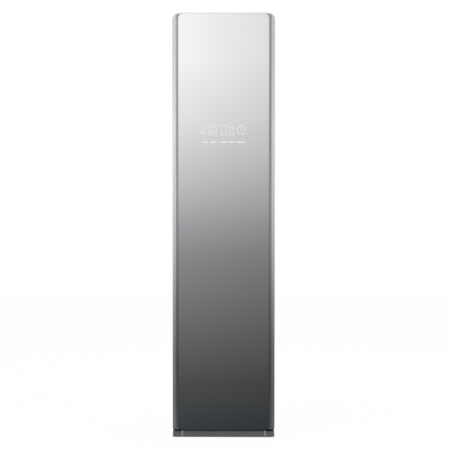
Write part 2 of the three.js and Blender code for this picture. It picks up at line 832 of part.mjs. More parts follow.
function chamberCeiling() {
  const half = insideHalf;
  let plate = block(-half, half, bodyFront + railDepth + fit, ceilingBack, ceilingZ,
    ceilingZ + linerWall);
  for (const x of [-stemSpread / 2, stemSpread / 2]) {
    const reach = stemWidth / 2 + barTravel + runningGap;
    const slot = rect(x - reach, x + reach, hangerY - stemThick / 2 - runningGap,
      hangerY + stemThick / 2 + runningGap, stemThick / 2);
    plate = cut(plate, plan(slot, ceilingZ - overrun, ceilingZ + overrun));
  }
  return cut(plate, block(-lampWidth / 2, lampWidth / 2, lampY - lampDepth / 2, lampY + lampDepth / 2,
    ceilingZ - overrun, ceilingZ + overrun));
}

const outletLeft = fanX - scrollStart - scrollGrowth * 0.75;
const outletRight = outletLeft + neckWidth;

function chamberFloor() {
  const half = insideHalf;
  let plate = block(-half, half, linerFront, floorBack, floorHeight - linerWall, floorHeight);
  const low = floorHeight - overrun;
  const high = floorHeight + overrun;
  plate = cut(plate,
    block(-filterWidth / 2 - runningGap, filterWidth / 2 + runningGap,
      filterY - filterDepth / 2 - runningGap, filterY + filterDepth / 2 + runningGap, low, high),
    block(outletLeft, outletRight, fanFront + scrollWall, scrollBack - scrollWall, low, high),
    rodZ(boilerX, boilerY, low, high, nozzleStem + fit, roundSteps));
  return plate;
}

addPart(cabinet, 'left_liner', sideLiner(-1), 'liner', [-linerHalf, linerFront, linerBottom]);
addPart(cabinet, 'right_liner', sideLiner(1), 'liner', [linerHalf, linerFront, linerBottom]);
addPart(cabinet, 'back_liner', backLiner(), 'liner', [0, chamberBack, linerBottom]);
addPart(cabinet, 'chamber_ceiling', chamberCeiling(), 'liner', [0, 0, ceilingZ]);
addPart(cabinet, 'chamber_floor', chamberFloor(), 'liner', [0, 0, floorHeight]);

// Lamp lens: a flanged strip pressed up into the ceiling
function lampLens() {
  const half = lampWidth / 2;
  const reach = lampDepth / 2;
  const flange = plan(rect(-half - lampFlange, half + lampFlange, lampY - reach - lampFlange,
    lampY + reach + lampFlange, lampFlange), ceilingZ - fit - lampDrop, ceilingZ - fit, lampEdge);
  const plug = block(-half + fit, half - fit, lampY - reach + fit, lampY + reach - fit,
    ceilingZ - lampDrop / 2, ceilingZ + linerWall);
  return flange.add(plug);
}

addPart(cabinet, 'lamp_lens', lampLens(), 'lens', [0, lampY, ceilingZ]);

// Hanger drive: a housing with rails, its motor, and the bar that slides from side to side
const driveBottom = ceilingZ + linerWall + fit;
const carriageBottom = driveBottom + carriageRise;

function driveHousing() {
  const half = driveLength / 2;
  const reach = driveWidth / 2;
  let shell = plan(rect(-half, half, hangerY - reach, hangerY + reach, driveEdge * 2), driveBottom,
    driveBottom + driveHeight, driveEdge);
  shell = cut(shell, block(-half + driveWall, half - driveWall, hangerY - reach + driveWall,
    hangerY + reach - driveWall, driveBottom - overrun, driveBottom + driveHeight - driveWall));
  for (const sign of [-1, 1]) {
    const edges = [sign * (reach - driveWall / 2), sign * (stemThick / 2 + runningGap * 2)];
    const y0 = hangerY + Math.min(...edges);
    const y1 = hangerY + Math.max(...edges);
    shell = shell.add(block(-half + driveWall / 2, half - driveWall / 2, y0, y1,
      driveBottom + driveEdge, carriageBottom - fit));
  }
  return cut(shell, rodY(0, driveBottom + driveHeight / 2, hangerY, hangerY + reach + overrun,
    driveShaftRadius + runningGap));
}

function driveMotor() {
  const start = hangerY + driveWidth / 2 + fit;
  const z = driveBottom + driveMotorRadius + driveMotorFoot / 10;
  const can = turnedY([[0, start], [driveMotorRadius, start], [driveMotorRadius, start +
    driveMotorLength - driveEdge], [driveMotorRadius - driveEdge, start + driveMotorLength],
  [0, start + driveMotorLength]], 0, z);
  const footBlock = block(-driveMotorFoot / 2, driveMotorFoot / 2, start + driveEdge,
    start + driveMotorLength - driveEdge, driveBottom, z - driveMotorRadius / 2);
  const shaft = rodY(0, driveBottom + driveHeight / 2, start - driveWall * 2, start + driveWall,
    driveShaftRadius);
  return join(can, footBlock, shaft);
}

addPart(cabinet, 'drive_housing', driveHousing(), 'greyPlastic', [0, hangerY, driveBottom]);
addPart(cabinet, 'drive_motor', driveMotor(), 'steel', [0, hangerY + driveWidth / 2, driveBottom]);

const hangerPlaces = [-hangerSpread, hangerSpread];

function hangerBar() {
  const half = barLength / 2;
  const profile = [[0, -half], [barRadius - barEndEdge, -half], [barRadius, -half + barEndEdge]];
  for (const x of hangerPlaces) {
    const reach = barNotchWidth / 2;
    profile.push([barRadius, x - reach - barNotch], [barRadius - barNotch, x - reach],
      [barRadius - barNotch, x + reach], [barRadius, x + reach + barNotch]);
  }
  profile.push([barRadius, half - barEndEdge], [barRadius - barEndEdge, half], [0, half]);
  let bar = turnedX(profile, hangerY, barZ, pinSteps);
  for (const x of [-stemSpread / 2, stemSpread / 2]) {
    const stem = rect(x - stemWidth / 2, x + stemWidth / 2, hangerY - stemThick / 2,
      hangerY + stemThick / 2, stemThick / 3);
    bar = bar.add(plan(stem, barZ, carriageBottom + carriageThick / 2));
  }
  const carriage = plan(rect(-carriageLength / 2, carriageLength / 2, hangerY - carriageWidth / 2,
    hangerY + carriageWidth / 2, carriageThick), carriageBottom, carriageBottom + carriageThick);
  return bar.add(carriage);
}

addPart(hangerDrive, 'hanger_bar', hangerBar(), 'satin', [0, hangerY, barZ]);

// Shoulder hanger: a wire hook and two sloping arms that widen to the shoulder
function hanger(x) {
  const seat = barRadius - barNotch + fit;
  const ring = seat + hookRoom + hookWire;
  const hookZ = barZ - hookRoom;
  const points = [];
  for (let i = 0; i <= 10; i += 1) {
    const angle = Math.PI * (-0.15 + 1.1 * (i / 10));
    points.push(new THREE.Vector3(x, hangerY - ring * Math.cos(angle), hookZ + ring * Math.sin(angle)));
  }
  const neckTop = barZ - hangerNeckDrop;
  points.push(new THREE.Vector3(x, hangerY + ring * 0.85, hookZ - ring));
  points.push(new THREE.Vector3(x, hangerY + ring * 0.1, hookZ - ring * 1.9));
  points.push(new THREE.Vector3(x, hangerY, neckTop - hookReach));
  const wire = new THREE.Shape();
  wire.absarc(0, 0, hookWire, 0, Math.PI * 2);
  const path = new THREE.CatmullRomCurve3(points);
  const hook = new THREE.ExtrudeGeometry(wire, { steps: 22, bevelEnabled: false, curveSegments: 3,
    extrudePath: path });
  const half = hangerSpan / 2;
  const tipZ = neckTop - hangerSlope;
  const arms = new THREE.Shape();
  arms.moveTo(hangerY - half, tipZ);
  arms.quadraticCurveTo(hangerY - half * 0.35, neckTop - hangerSlope * 0.3, hangerY - hangerArm, neckTop);
  arms.lineTo(hangerY + hangerArm, neckTop);
  arms.quadraticCurveTo(hangerY + half * 0.35, neckTop - hangerSlope * 0.3, hangerY + half, tipZ);
  arms.lineTo(hangerY + half - hangerTipArm / 3, tipZ - hangerTipArm);
  arms.quadraticCurveTo(hangerY + half * 0.3, neckTop - hangerSlope * 0.5 - hangerArm, hangerY,
    neckTop - hangerArm * 1.6);
  arms.quadraticCurveTo(hangerY - half * 0.3, neckTop - hangerSlope * 0.5 - hangerArm,
    hangerY - half + hangerTipArm / 3, tipZ - hangerTipArm);
  arms.closePath();
  return solid(hook).add(side(arms, x - hangerThick / 2, x + hangerThick / 2, hangerEdge));
}

addPart(groupAt(hangerDrive, -hangerSpread, hangerY, barZ), 'hanger_left', hanger(-hangerSpread),
  'blackPlastic', [-hangerSpread, hangerY, barZ]);
addPart(groupAt(hangerDrive, hangerSpread, hangerY, barZ), 'hanger_right', hanger(hangerSpread),
  'blackPlastic', [hangerSpread, hangerY, barZ]);

// Shelf: a shallow slotted tray that lifts off the ledges of the side walls
const shelfHalf = linerHalf - shelfSideGap;

function shelf() {
  const bottom = ledgeHeight + fit;
  let tray = plan(rect(-shelfHalf, shelfHalf, shelfFront, shelfBack, shelfCorner), bottom,
    bottom + shelfThick, shelfWall / 2);
  tray = cut(tray, plan(rect(-shelfHalf + shelfWall, shelfHalf - shelfWall, shelfFront + shelfWall,
    shelfBack - shelfWall, shelfCorner - shelfWall), bottom + shelfWall, bottom + shelfThick + overrun));
  const reach = shelfHalf - shelfSlotMargin;
  for (let x = -Math.floor(reach / shelfSlotPitch) * shelfSlotPitch; x <= reach; x += shelfSlotPitch) {
    tray = cut(tray, plan(rect(x - shelfSlotWidth / 2, x + shelfSlotWidth / 2,
      shelfFront + shelfSlotMargin, shelfBack - shelfSlotMargin, shelfSlotWidth / 2),
    bottom - overrun, bottom + shelfWall + fit, 0, cornerSteps));
  }
  return tray;
}

addPart(groupAt(group, 0, 0, ledgeHeight), 'shelf', shelf(), 'liner', [0, 0, ledgeHeight]);

// Lint filter: a ribbed basket with a lift handle, hung by its flange in the chamber floor
function lintFilter() {
  const half = filterWidth / 2;
  const reach = filterDepth / 2;
  const seat = floorHeight + fit;
  const low = floorHeight - filterDrop;
  let basket = block(-half, half, filterY - reach, filterY + reach, low, seat + filterFlangeThick);
  basket = basket.add(plan(rect(-half - filterFlange, half + filterFlange, filterY - reach - filterFlange,
    filterY + reach + filterFlange, filterFlange), seat, seat + filterFlangeThick));
  basket = cut(basket, block(-half + filterWall, half - filterWall, filterY - reach + filterWall,
    filterY + reach - filterWall, low + filterWall, seat + overrun));
  const bay = (filterWidth - 2 * filterWall) / filterRibs;
  for (let i = 0; i < filterRibs; i += 1) {
    const x0 = -half + filterWall + i * bay + filterWall / 2;
    basket = cut(basket, block(x0, x0 + bay - filterWall, filterY - reach - overrun,
      filterY + reach + overrun, low + filterWall * 2, floorHeight - filterWall * 3));
  }
  const grip = filterHandleWidth / 2;
  const top = seat + filterFlangeThick + filterHandleRise;
  const handle = new THREE.Shape();
  handle.moveTo(-grip - filterHandleThick, seat).lineTo(-grip, top - filterHandleThick / 2);
  handle.lineTo(-grip + filterHandleThick, top).lineTo(grip - filterHandleThick, top);
  handle.lineTo(grip, top - filterHandleThick / 2).lineTo(grip + filterHandleThick, seat);
  handle.lineTo(grip - filterHandleThick / 2, seat).lineTo(grip - filterHandleThick, top -
    filterHandleThick);
  handle.lineTo(-grip + filterHandleThick, top - filterHandleThick);
  handle.lineTo(-grip + filterHandleThick / 2, seat).closePath();
  const bridge = block(-grip - filterHandleThick * 2, grip + filterHandleThick * 2,
    filterY - filterHandleThick, filterY + filterHandleThick, seat, seat + filterFlangeThick);
  const crossBar = block(-filterWall, filterWall, filterY - reach, filterY + reach, seat,
    seat + filterFlangeThick);
  return join(basket, bridge, crossBar,
    front(handle, filterY - filterHandleThick / 2, filterY + filterHandleThick / 2));
}

addPart(groupAt(group, 0, filterY, floorHeight), 'lint_filter', lintFilter(), 'greyPlastic',
  [0, filterY, floorHeight]);

// Tank bay: a double open box that the two water tanks slide into
const bayFront = bodyFront + sheet + fit;
const bayTop = tankTop + bayRoom + bayWall;

function tankBay() {
  let bay = block(-bayHalf, bayHalf, bayFront, bayBack, bayFloor, bayTop);
  for (const sign of [-1, 1]) {
    const edges = [sign * bayWall / 2, sign * (bayHalf - bayWall)];
    bay = cut(bay, block(Math.min(...edges), Math.max(...edges), bayFront - overrun, bayBack - bayWall,
      bayFloor + bayWall, bayTop - bayWall));
    const runner = sign * (tankGap / 2 + tankWidth / 2);
    for (const offset of [-tankWidth / 4, tankWidth / 4]) {
      const x = runner + offset;
      bay = bay.add(block(x - bayWall, x + bayWall, bayFront + tankSetBack / 2, bayBack - bayWall / 2,
        bayFloor + bayWall / 2, tankBottom - fit));
    }
  }
  const legs = block(-bayHalf, bayHalf, bayBack - bayWall, bayBack, baseHeight, bayFloor + bayWall / 2);
  return bay.add(legs);
}

addPart(cabinet, 'tank_bay', tankBay(), 'greyPlastic', [0, bayFront, bayFloor]);

// Water tank: a blown shell with a finger recess in its face and a filler neck on top
function tank(sign) {
  const centre = sign * (tankGap + tankWidth) / 2;
  const x0 = centre - tankWidth / 2;
  const x1 = centre + tankWidth / 2;
  const back = tankFront + tankDepth;
  const w = tankWall;
  const gripTop = tankTop - tankGripDrop;
  const gripShape = rect(centre - tankGripWidth / 2, centre + tankGripWidth / 2,
    gripTop - tankGripHeight, gripTop, tankCorner);
  const gripShell = rect(centre - tankGripWidth / 2 - w, centre + tankGripWidth / 2 + w,
    gripTop - tankGripHeight - w, gripTop + w, tankCorner + w);
  const outer = plan(rect(x0, x1, tankFront, back, tankCorner), tankBottom, tankTop - neckRise, tankEdge);
  const hollow = cut(
    plan(rect(x0 + w, x1 - w, tankFront + w, back - w, tankCorner - w), tankBottom + w,
      tankTop - neckRise - w, tankEdge - w / 2),
    front(gripShell, tankFront - overrun, tankFront + tankGripDepth + w));
  const neckY = tankFront + tankGripDepth + w + neckRadius + neckWall;
  const neck = rodZ(centre, neckY, tankTop - neckRise - w, tankTop, neckRadius, roundSteps);
  const mouth = rodZ(centre, neckY, tankTop - neckRise - w * 2, tankTop + overrun,
    neckRadius - neckWall, roundSteps);
  const grip = front(gripShape, tankFront - overrun, tankFront + tankGripDepth);
  return cut(outer.add(neck), hollow, mouth, grip);
}

for (const [sign, name] of [[-1, 'supply_tank'], [1, 'drain_tank']]) {
  const place = [sign * (tankGap + tankWidth) / 2, tankFront, tankBottom];
  addPart(groupAt(group, ...place), name, tank(sign), 'tank', place);
}

// Blower: a spiral housing, the wheel with its curved blades, and the motor
function spiral(extra) {
  const shape = new THREE.Shape();
  const steps = 28;
  for (let i = 0; i <= steps; i += 1) {
    const turn = i / steps;
    const angle = Math.PI / 2 - turn * Math.PI * 2;
    const radius = scrollStart + scrollGrowth * turn + extra;
    const point = [fanX + radius * Math.cos(angle), fanZ + radius * Math.sin(angle)];
    if (i === 0) shape.moveTo(...point);
    else shape.lineTo(...point);
  }
  return shape.closePath();
}

function blowerHousing() {
  const w = scrollWall;
  const neckTop = floorHeight - linerWall - fit;
  let housing = front(spiral(w), fanFront, scrollBack);
  housing = housing.add(block(outletLeft - w, outletRight + w, fanFront, scrollBack, fanZ, neckTop));
  housing = cut(housing, front(spiral(0), fanFront + w, scrollBack - w));
  housing = cut(housing, block(outletLeft, outletRight, fanFront + w, scrollBack - w, fanZ,
    neckTop + overrun));
  const ring = turnedY([[inletRadius, fanFront - w], [inletRadius + w, fanFront - w],
    [inletRadius + w * 2, fanFront + w], [inletRadius, fanFront + w], [inletRadius, fanFront - w]],
  fanX, fanZ);
  housing = cut(housing, rodY(fanX, fanZ, fanFront - overrun, fanFront + w * 2, inletRadius + w / 2,
    roundSteps));
  housing = housing.add(ring);
  return cut(housing, rodY(fanX, fanZ, scrollBack - overrun / 2, scrollBack + overrun,
    fanShaft + runningGap * 2));
}

function fanWheel() {
  const inner = wheelRadius - bladeDepth;
  let wheel = rodY(fanX, fanZ, wheelBack - wheelPlate, wheelBack, wheelRadius, roundSteps * 2);
  wheel = wheel.add(turnedY([[0, wheelFront + wheelWidth / 2], [hubRadius * 0.7, wheelFront +
    wheelWidth / 2], [hubRadius, wheelBack - wheelPlate / 2], [0, wheelBack - wheelPlate / 2]],
  fanX, fanZ, pinSteps));
  wheel = wheel.add(turnedY([[wheelRadius - wheelRing, wheelFront], [wheelRadius, wheelFront],
    [wheelRadius, wheelFront + wheelPlate], [wheelRadius - wheelRing, wheelFront + wheelPlate],
    [wheelRadius - wheelRing, wheelFront]], fanX, fanZ, roundSteps * 2));
  for (let i = 0; i < bladeCount; i += 1) {
    const blade = new THREE.Shape();
    blade.moveTo(inner, -bladeThick / 2);
    blade.quadraticCurveTo(inner + bladeDepth / 2, -bladeBow * 1.6, wheelRadius - fit, bladeBow);
    blade.lineTo(wheelRadius - fit, bladeBow + bladeThick);
    blade.quadraticCurveTo(inner + bladeDepth / 2, -bladeBow * 1.6 + bladeThick * 1.4, inner,
      bladeThick / 2);
    blade.closePath();
    const geometry = new THREE.ExtrudeGeometry(blade, { depth: wheelWidth - wheelPlate,
      bevelEnabled: false, curveSegments: 2 });
    const place = new THREE.Matrix4().makeTranslation(fanX, wheelBack - wheelPlate / 2, fanZ);
    place.multiply(new THREE.Matrix4().makeRotationY((i / bladeCount) * Math.PI * 2));
    place.multiply(layFront);
    wheel = wheel.add(solid(geometry, place));
  }
  return cut(wheel, rodY(fanX, fanZ, wheelFront - overrun, wheelBack + overrun, fanShaft + fanShaftGap));
}

function blowerMotor() {
  const start = scrollBack + fit;
  const end = start + blowerMotorLength;
  const can = turnedY([[0, start], [blowerMotorRadius, start], [blowerMotorRadius, end - blowerMotorEdge],
    [blowerMotorRadius - blowerMotorEdge, end], [0, end]], fanX, fanZ);
  return can.add(rodY(fanX, fanZ, wheelFront + wheelWidth * 0.6, start + blowerMotorEdge, fanShaft));
}

addPart(cabinet, 'blower_housing', blowerHousing(), 'greyPlastic', [fanX, fanFront, fanZ]);
addPart(cabinet, 'blower_motor', blowerMotor(), 'steel', [fanX, scrollBack, fanZ]);
addPart(groupAt(group, fanX, wheelBack, fanZ), 'fan_wheel', fanWheel(), 'blackPlastic',
  [fanX, wheelBack, fanZ]);

// Heat exchangers: fins on tubes between two end plates that stand on the base
function coil(y0) {
  const half = coilWidth / 2;
  const y1 = y0 + coilDepth;
  const top = coilBottom + coilTall;
  let body = block(-half, -half + endPlate, y0, y1, baseHeight, top);
  body = body.add(block(half - endPlate, half, y0, y1, baseHeight, top));
  for (let i = 0; i < coilTubeCount; i += 1) {
    const z = coilBottom + (coilTall * (i + 0.5)) / coilTubeCount;
    body = body.add(rodX((y0 + y1) / 2, z, -half + endPlate / 2, half - endPlate / 2, coilTube, tubeSteps));
  }
  for (let i = 1; i <= finCount; i += 1) {
    const x = -half + (coilWidth * i) / (finCount + 1);
    body = body.add(block(x - finThick / 2, x + finThick / 2, y0, y1, coilBottom, top));
  }
  return body;
}

addPart(cabinet, 'evaporator', coil(coilFront), 'fin', [0, coilFront, baseHeight]);
addPart(cabinet, 'condenser', coil(coilFront + coilDepth + coilGap), 'fin',
  [0, coilFront + coilDepth + coilGap, baseHeight]);

// Compressor: a welded steel can on a foot plate
function compressor() {
  const bottom = baseHeight + compressorFootThick / 2;
  const top = baseHeight + compressorTall;
  const r = compressorRadius;
  const profile = [[0, bottom], [r, bottom]];
  const steps = 4;
  for (let i = 0; i <= steps; i += 1) {
    const angle = (i / steps) * (Math.PI / 2);
    profile.push([r * Math.cos(angle), top - compressorDome * (1 - Math.sin(angle))]);
  }
  profile[profile.length - 1][0] = 0;
  const can = turned(profile, compressorX, compressorY);
  const plate = new THREE.Shape();
  const reach = compressorFoot;
  plate.moveTo(compressorX + reach, compressorY);
  for (let i = 1; i < 6; i += 1) {
    const angle = (i / 6) * Math.PI * 2;
    const radius = i % 2 ? reach * 0.72 : reach;
    plate.lineTo(compressorX + radius * Math.cos(angle), compressorY + radius * Math.sin(angle));
  }
  plate.closePath();
  return can.add(plan(plate, baseHeight, baseHeight + compressorFootThick));
}

// Steam generator: a hollow boiler box with the riser that feeds the nozzle in the chamber floor
const nozzleSeat = floorHeight - linerWall - nozzleStemDrop;

function steamGenerator() {
  const x0 = boilerX - boilerWidth / 2;
  const x1 = boilerX + boilerWidth / 2;
  const y0 = boilerY - boilerDepth / 2;
  const y1 = boilerY + boilerDepth / 2;
  const top = baseHeight + boilerTall;
  const w = boilerWall;
  const box = plan(rect(x0, x1, y0, y1, boilerEdge * 2), baseHeight, top, boilerEdge);
  const riser = rodZ(boilerX, boilerY, top - w, nozzleSeat - fit, riserRadius);
  const hollow = block(x0 + w, x1 - w, y0 + w, y1 - w, baseHeight + w, top - w);
  const bore = rodZ(boilerX, boilerY, top - 2 * w, nozzleSeat + overrun, riserBore);
  return cut(box.add(riser), hollow, bore);
}

// Steam nozzle: a domed cap on the chamber floor with a stem down to the riser
function steamNozzle() {
  const seat = floorHeight + fit;
  const profile = [[nozzleBore, nozzleSeat], [nozzleStem, nozzleSeat], [nozzleStem, seat],
    [nozzleRadius, seat], [nozzleRadius, seat + nozzleRise * 0.4],
    [nozzleRadius * 0.7, seat + nozzleRise], [nozzleBore, seat + nozzleRise], [nozzleBore, nozzleSeat]];
  return turned(profile, boilerX, boilerY);
}

// Air outlet grille: a slatted frame over the blower outlet
function outletGrille() {
  const seat = floorHeight + fit;
  const y0 = fanFront + scrollWall;
  const y1 = scrollBack - scrollWall;
  const f = grilleFrame;
  let grille = plan(rect(outletLeft - f, outletRight + f, y0 - f, y1 + f, f), seat, seat + grilleThick,
    grilleThick / 4);
  const pitch = (y1 - y0 + grilleSlatWidth) / (grilleSlats + 1);
  for (let i = 0; i <= grilleSlats; i += 1) {
    const y = y0 + i * pitch;
    grille = cut(grille, block(outletLeft, outletRight, y, y + pitch - grilleSlatWidth,
      seat - overrun, seat + overrun));
  }
  return grille;
}

// Feed pump on its foot
function feedPump() {
  const z = baseHeight + pumpFootThick + pumpRadius;
  const y0 = pumpY - pumpLength / 2;
  const y1 = pumpY + pumpLength / 2;
  const body = turnedY([[0, y0], [pumpRadius * 0.7, y0], [pumpRadius, y0 + pumpRadius * 0.3],
    [pumpRadius, y1 - pumpRadius * 0.6], [pumpRadius * 0.75, y1 - pumpRadius * 0.5],
    [pumpRadius * 0.75, y1], [0, y1]], pumpX, z);
  const half = pumpFootWidth / 2;
  const plate = block(pumpX - half, pumpX + half, y0, y1, baseHeight, baseHeight + pumpFootThick);
  const saddle = block(pumpX - half / 2, pumpX + half / 2, y0 + pumpFootThick, y1 - pumpFootThick,
    baseHeight + pumpFootThick / 2, z);
  const spout = rodZ(pumpX, y0 + pumpRadius * 0.6, z, z + pumpRadius * 1.5, pumpRadius * 0.25);
  return join(body, plate, saddle, spout);
}

// Control box on the left side panel, with cooling ribs
function controlBox() {
  const x0 = -bodyHalf + sheet + fit;
  const shape = rect(controlY, controlY + controlWidth, controlZ, controlZ + controlTall,
    controlEdge * 2);
  let box = side(shape, x0, x0 + controlDepth, controlEdge);
  for (let i = 1; i <= controlRibs; i += 1) {
    const y = controlY + (controlWidth * i) / (controlRibs + 1);
    box = box.add(block(x0 + controlDepth - controlEdge, x0 + controlDepth + controlRibRise,
      y - controlRibWidth / 2, y + controlRibWidth / 2, controlZ + controlEdge * 2,
      controlZ + controlTall - controlEdge * 2));
  }
  return box;
}

addPart(cabinet, 'compressor', compressor(), 'blackPlastic', [compressorX, compressorY, baseHeight]);
addPart(cabinet, 'steam_generator', steamGenerator(), 'fin', [boilerX, boilerY, baseHeight]);
addPart(cabinet, 'steam_nozzle', steamNozzle(), 'liner', [boilerX, boilerY, floorHeight]);
addPart(cabinet, 'outlet_grille', outletGrille(), 'liner', [0, fanFront, floorHeight]);
addPart(cabinet, 'feed_pump', feedPump(), 'blackPlastic', [pumpX, pumpY, baseHeight]);
addPart(cabinet, 'control_box', controlBox(), 'greyPlastic', [-bodyHalf, controlY, controlZ]);

// Door frame: one ring with the glass seat, cut into two side trims and two caps
function doorOutline(inset) {
  return rect(-doorHalf + inset, doorHalf - inset, doorBottom + inset, height - inset,
    doorCorner - inset, doorCornerLow - inset);
}

const glassLow = doorBottom + glassMargin;
const glassHigh = height - glassMargin;
const gripTop = gripBottom + gripLength;

// Space at the top right corner where the hinge arm swings
const hingeRecess = block(hingeX - hingeRecessHalf, doorHalf + overrun, frontY + hingeRecessFront,
  doorBack + overrun, bodyTop - hingeRoom, height + overrun);
const gripShape = rect(gripBottom, gripTop, doorBack - gripDepth, doorBack + overrun, gripCorner);

// Finger recess along the back edge on the handle side
function gripCut(grow) {
  const outline = rect(-doorHalf - overrun, -doorHalf + gripInset + grow, doorBack - gripDepth - grow,
    doorBack + overrun, gripCorner + grow);
  return plan(outline, gripBottom - grow, gripTop + grow);
}

// Holes that the two hinge bushes sit in
const upperBushLow = bodyTop - hingeRoom - bushLength;
const upperBushHole = rodZ(hingeX, hingeY, upperBushLow, height + overrun, bushRadius + fit, roundSteps);
const lowerBushHole = rodZ(hingeX, hingeY, doorBottom - overrun, doorBottom + bushLength + fit,
  bushRadius + fit, roundSteps);

function doorRing() {
  const ring = front(doorOutline(0), frontY, framedBack, doorEdge, doorSteps);
  const pocket = front(doorOutline(frameWall), frontY + frameFace, framedBack + overrun);
  const glassSeat = front(rect(-glassHalf - fit, glassHalf + fit, glassLow - fit, glassHigh + fit,
    glassCorner + fit), frontY - overrun, glassBack + fit, 0, doorSteps);
  const opening = front(rect(-windowHalf, windowHalf, doorBottom + windowMargin,
    height - windowMargin, doorCorner / 2), frontY - overrun, framedBack);
  return cut(ring, pocket, glassSeat, opening, hingeRecess, upperBushHole, lowerBushHole, gripCut(0));
}

const ring = doorRing();
const groove = front(rect(-glassHalf - grooveWidth, glassHalf + grooveWidth, doorBottom + grooveEndLow,
  height - grooveEndHigh, grooveCorner), frontY - overrun, frontY + grooveDepth, coveRadius, doorSteps);
const far = doorHalf + overrun;
const low = doorBottom - overrun;
const high = height + overrun;
const nearY = frontY - overrun;
const farY = doorBack + overrun;
const middleZ = (doorBottom + height) / 2;
const leftTrim = cut(ring.intersect(block(-far, -windowHalf, nearY, farY, low, high)), groove);
const rightTrim = cut(ring.intersect(block(windowHalf, far, nearY, farY, low, high)), groove);
const capHalf = windowHalf - fit;
const topCap = ring.intersect(block(-capHalf, capHalf, nearY, farY, middleZ, high));
const bottomCap = ring.intersect(block(-capHalf, capHalf, nearY, farY, low, middleZ));

addPart(door, 'left_trim', leftTrim, 'satin', [-doorHalf, frontY, doorBottom]);
addPart(door, 'right_trim', rightTrim, 'satin', [doorHalf, frontY, doorBottom]);
addPart(door, 'door_top_cap', topCap, 'satin', [0, frontY, height]);
addPart(door, 'door_bottom_cap', bottomCap, 'satin', [0, frontY, doorBottom]);
addPart(door, 'mirror_glass', front(rect(-glassHalf, glassHalf, glassLow, glassHigh, glassCorner),
  glassFront, glassBack, 0, doorSteps), 'mirror', [0, glassFront, glassLow]);

// Door core: a ribbed pan behind the glass, with the hinge blocks and the grip box
const coreOut = frameWall + fit;
const coreBack = framedBack;

function doorCore() {
  const outside = front(doorOutline(coreOut), coreFront, coreBack);
  let core = cut(outside, front(doorOutline(coreOut + coreWall), coreFront + coreWall, coreBack + overrun));
  const half = doorHalf - coreOut - coreWall / 2;
  for (let z = doorBottom + ribPitch; z < height - ribPitch / 2; z += ribPitch) {
    core = core.add(block(-half, half, coreFront + coreWall / 2, coreBack, z, z + coreWall));
  }
  const hingeBlock = (z0, z1) => block(hingeX - hingeRecessHalf - coreWall, half,
    coreFront + coreWall / 2, coreBack, z0, z1);
  const upperLow = upperBushLow - coreWall;
  const lowerHigh = doorBottom + bushLength + 2 * coreWall;
  core = join(core, hingeBlock(upperLow, height - coreOut - coreWall / 2),
    hingeBlock(doorBottom + coreOut + coreWall / 2, lowerHigh));
  const gripBox = gripCut(gripWall).intersect(block(-half, half, coreFront, coreBack, low, high));
  const trimmed = core.add(gripBox).intersect(outside);
  return cut(trimmed, gripCut(fit), hingeRecess, upperBushHole, lowerBushHole);
}

addPart(door, 'door_core', doorCore(), 'greyPlastic', [0, coreFront, doorBottom]);

// Touch module between the glass and the core
function touchModule() {
  const y0 = glassBack + fit;
  const y1 = coreFront - fit;
  const board = front(rect(-touchWidth / 2, touchWidth / 2, touchBottom, touchBottom + touchHeight,
    doorEdge), y0, y1);
  const notch = rect(-touchWidth / 10, touchWidth / 10, touchBottom - overrun,
    touchBottom + touchHeight / 10, doorEdge);
  return cut(board, front(notch, y0 - overrun, y1 + overrun));
}

addPart(door, 'touch_module', touchModule(), 'blackPlastic', [0, glassBack, touchBottom]);

// Bushes that the hinge pins turn in
function bush(z0) {
  const bore = pinRadius + pinGap;
  return turned([[bore, z0], [bushRadius, z0], [bushRadius, z0 + bushLength - fit],
    [bore, z0 + bushLength - fit], [bore, z0]], hingeX, hingeY);
}

addPart(door, 'upper_hinge_bush', bush(upperBushLow + fit), 'blackPlastic',
  [hingeX, hingeY, upperBushLow]);
addPart(door, 'lower_hinge_bush', bush(doorBottom), 'blackPlastic', [hingeX, hingeY, doorBottom]);

// Door liner: a formed plate with a raised field above the tanks and two lugs for the press
function lugs() {
  const y0 = plateauFace - linerSkin / 2;
  const x0 = pressHingeX - pressLugWidth / 2;
  const x1 = pressHingeX + pressLugWidth / 2;
  const y1 = pressMiddle + pressLugReach;
  const shape = rect(x0, x1, y0, y1, pressLugWidth / 3);
  const below = plan(shape, pressBottom - pressLug - runningGap, pressBottom - runningGap);
  const above = plan(shape, pressTop + runningGap, pressTop + runningGap + pressLug);
  return join(below, above);
}

function doorLiner() {
  const plate = front(doorOutline(linerInset), doorBack - linerPlate, doorBack);
  const plateau = front(rect(-plateauHalf, plateauHalf, plateauBottom, plateauTop, plateauCorner),
    doorBack - plateauEdge - linerPlate / 2, plateauFace, plateauEdge);
  const s = linerSkin;
  const hollow = front(rect(-plateauHalf + s, plateauHalf - s, plateauBottom + s, plateauTop - s,
    plateauCorner - s), doorBack - linerPlate - overrun, plateauFace - s, plateauEdge);
  const trimFront = block(-far, far, nearY, doorBack - linerPlate, low, high);
  const pinBore = rodZ(pressHingeX, pressMiddle, pressBottom - pressLug - overrun,
    pressTop + pressLug + overrun, pressPin + pinGap);
  const bored = cut(lugs(), pinBore);
  return join(cut(plate.add(plateau), trimFront, hollow, hingeRecess, gripCut(0)), bored);
}

addPart(door, 'door_liner', doorLiner(), 'liner', [0, doorBack, doorBottom]);

// Door seal: a soft ring between the liner and the cabinet's front flange
function doorGasket() {
  const inner = linerHalf + gasketInset;
  const outer = inner + gasketWidth;
  const top = ceilingZ + gasketWidth;
  const bottom = sillTop - gasketWidth / 2;
  const outline = rect(-outer, outer, bottom - gasketWidth, top + gasketWidth, doorCorner / 2);
  outline.holes.push(rect(-inner, inner, bottom, top, doorCorner / 4));
  return front(outline, doorBack + fit, bodyFront - fit, gasketLip);
}

addPart(door, 'door_gasket', doorGasket(), 'rubber', [0, doorBack, doorBottom]);

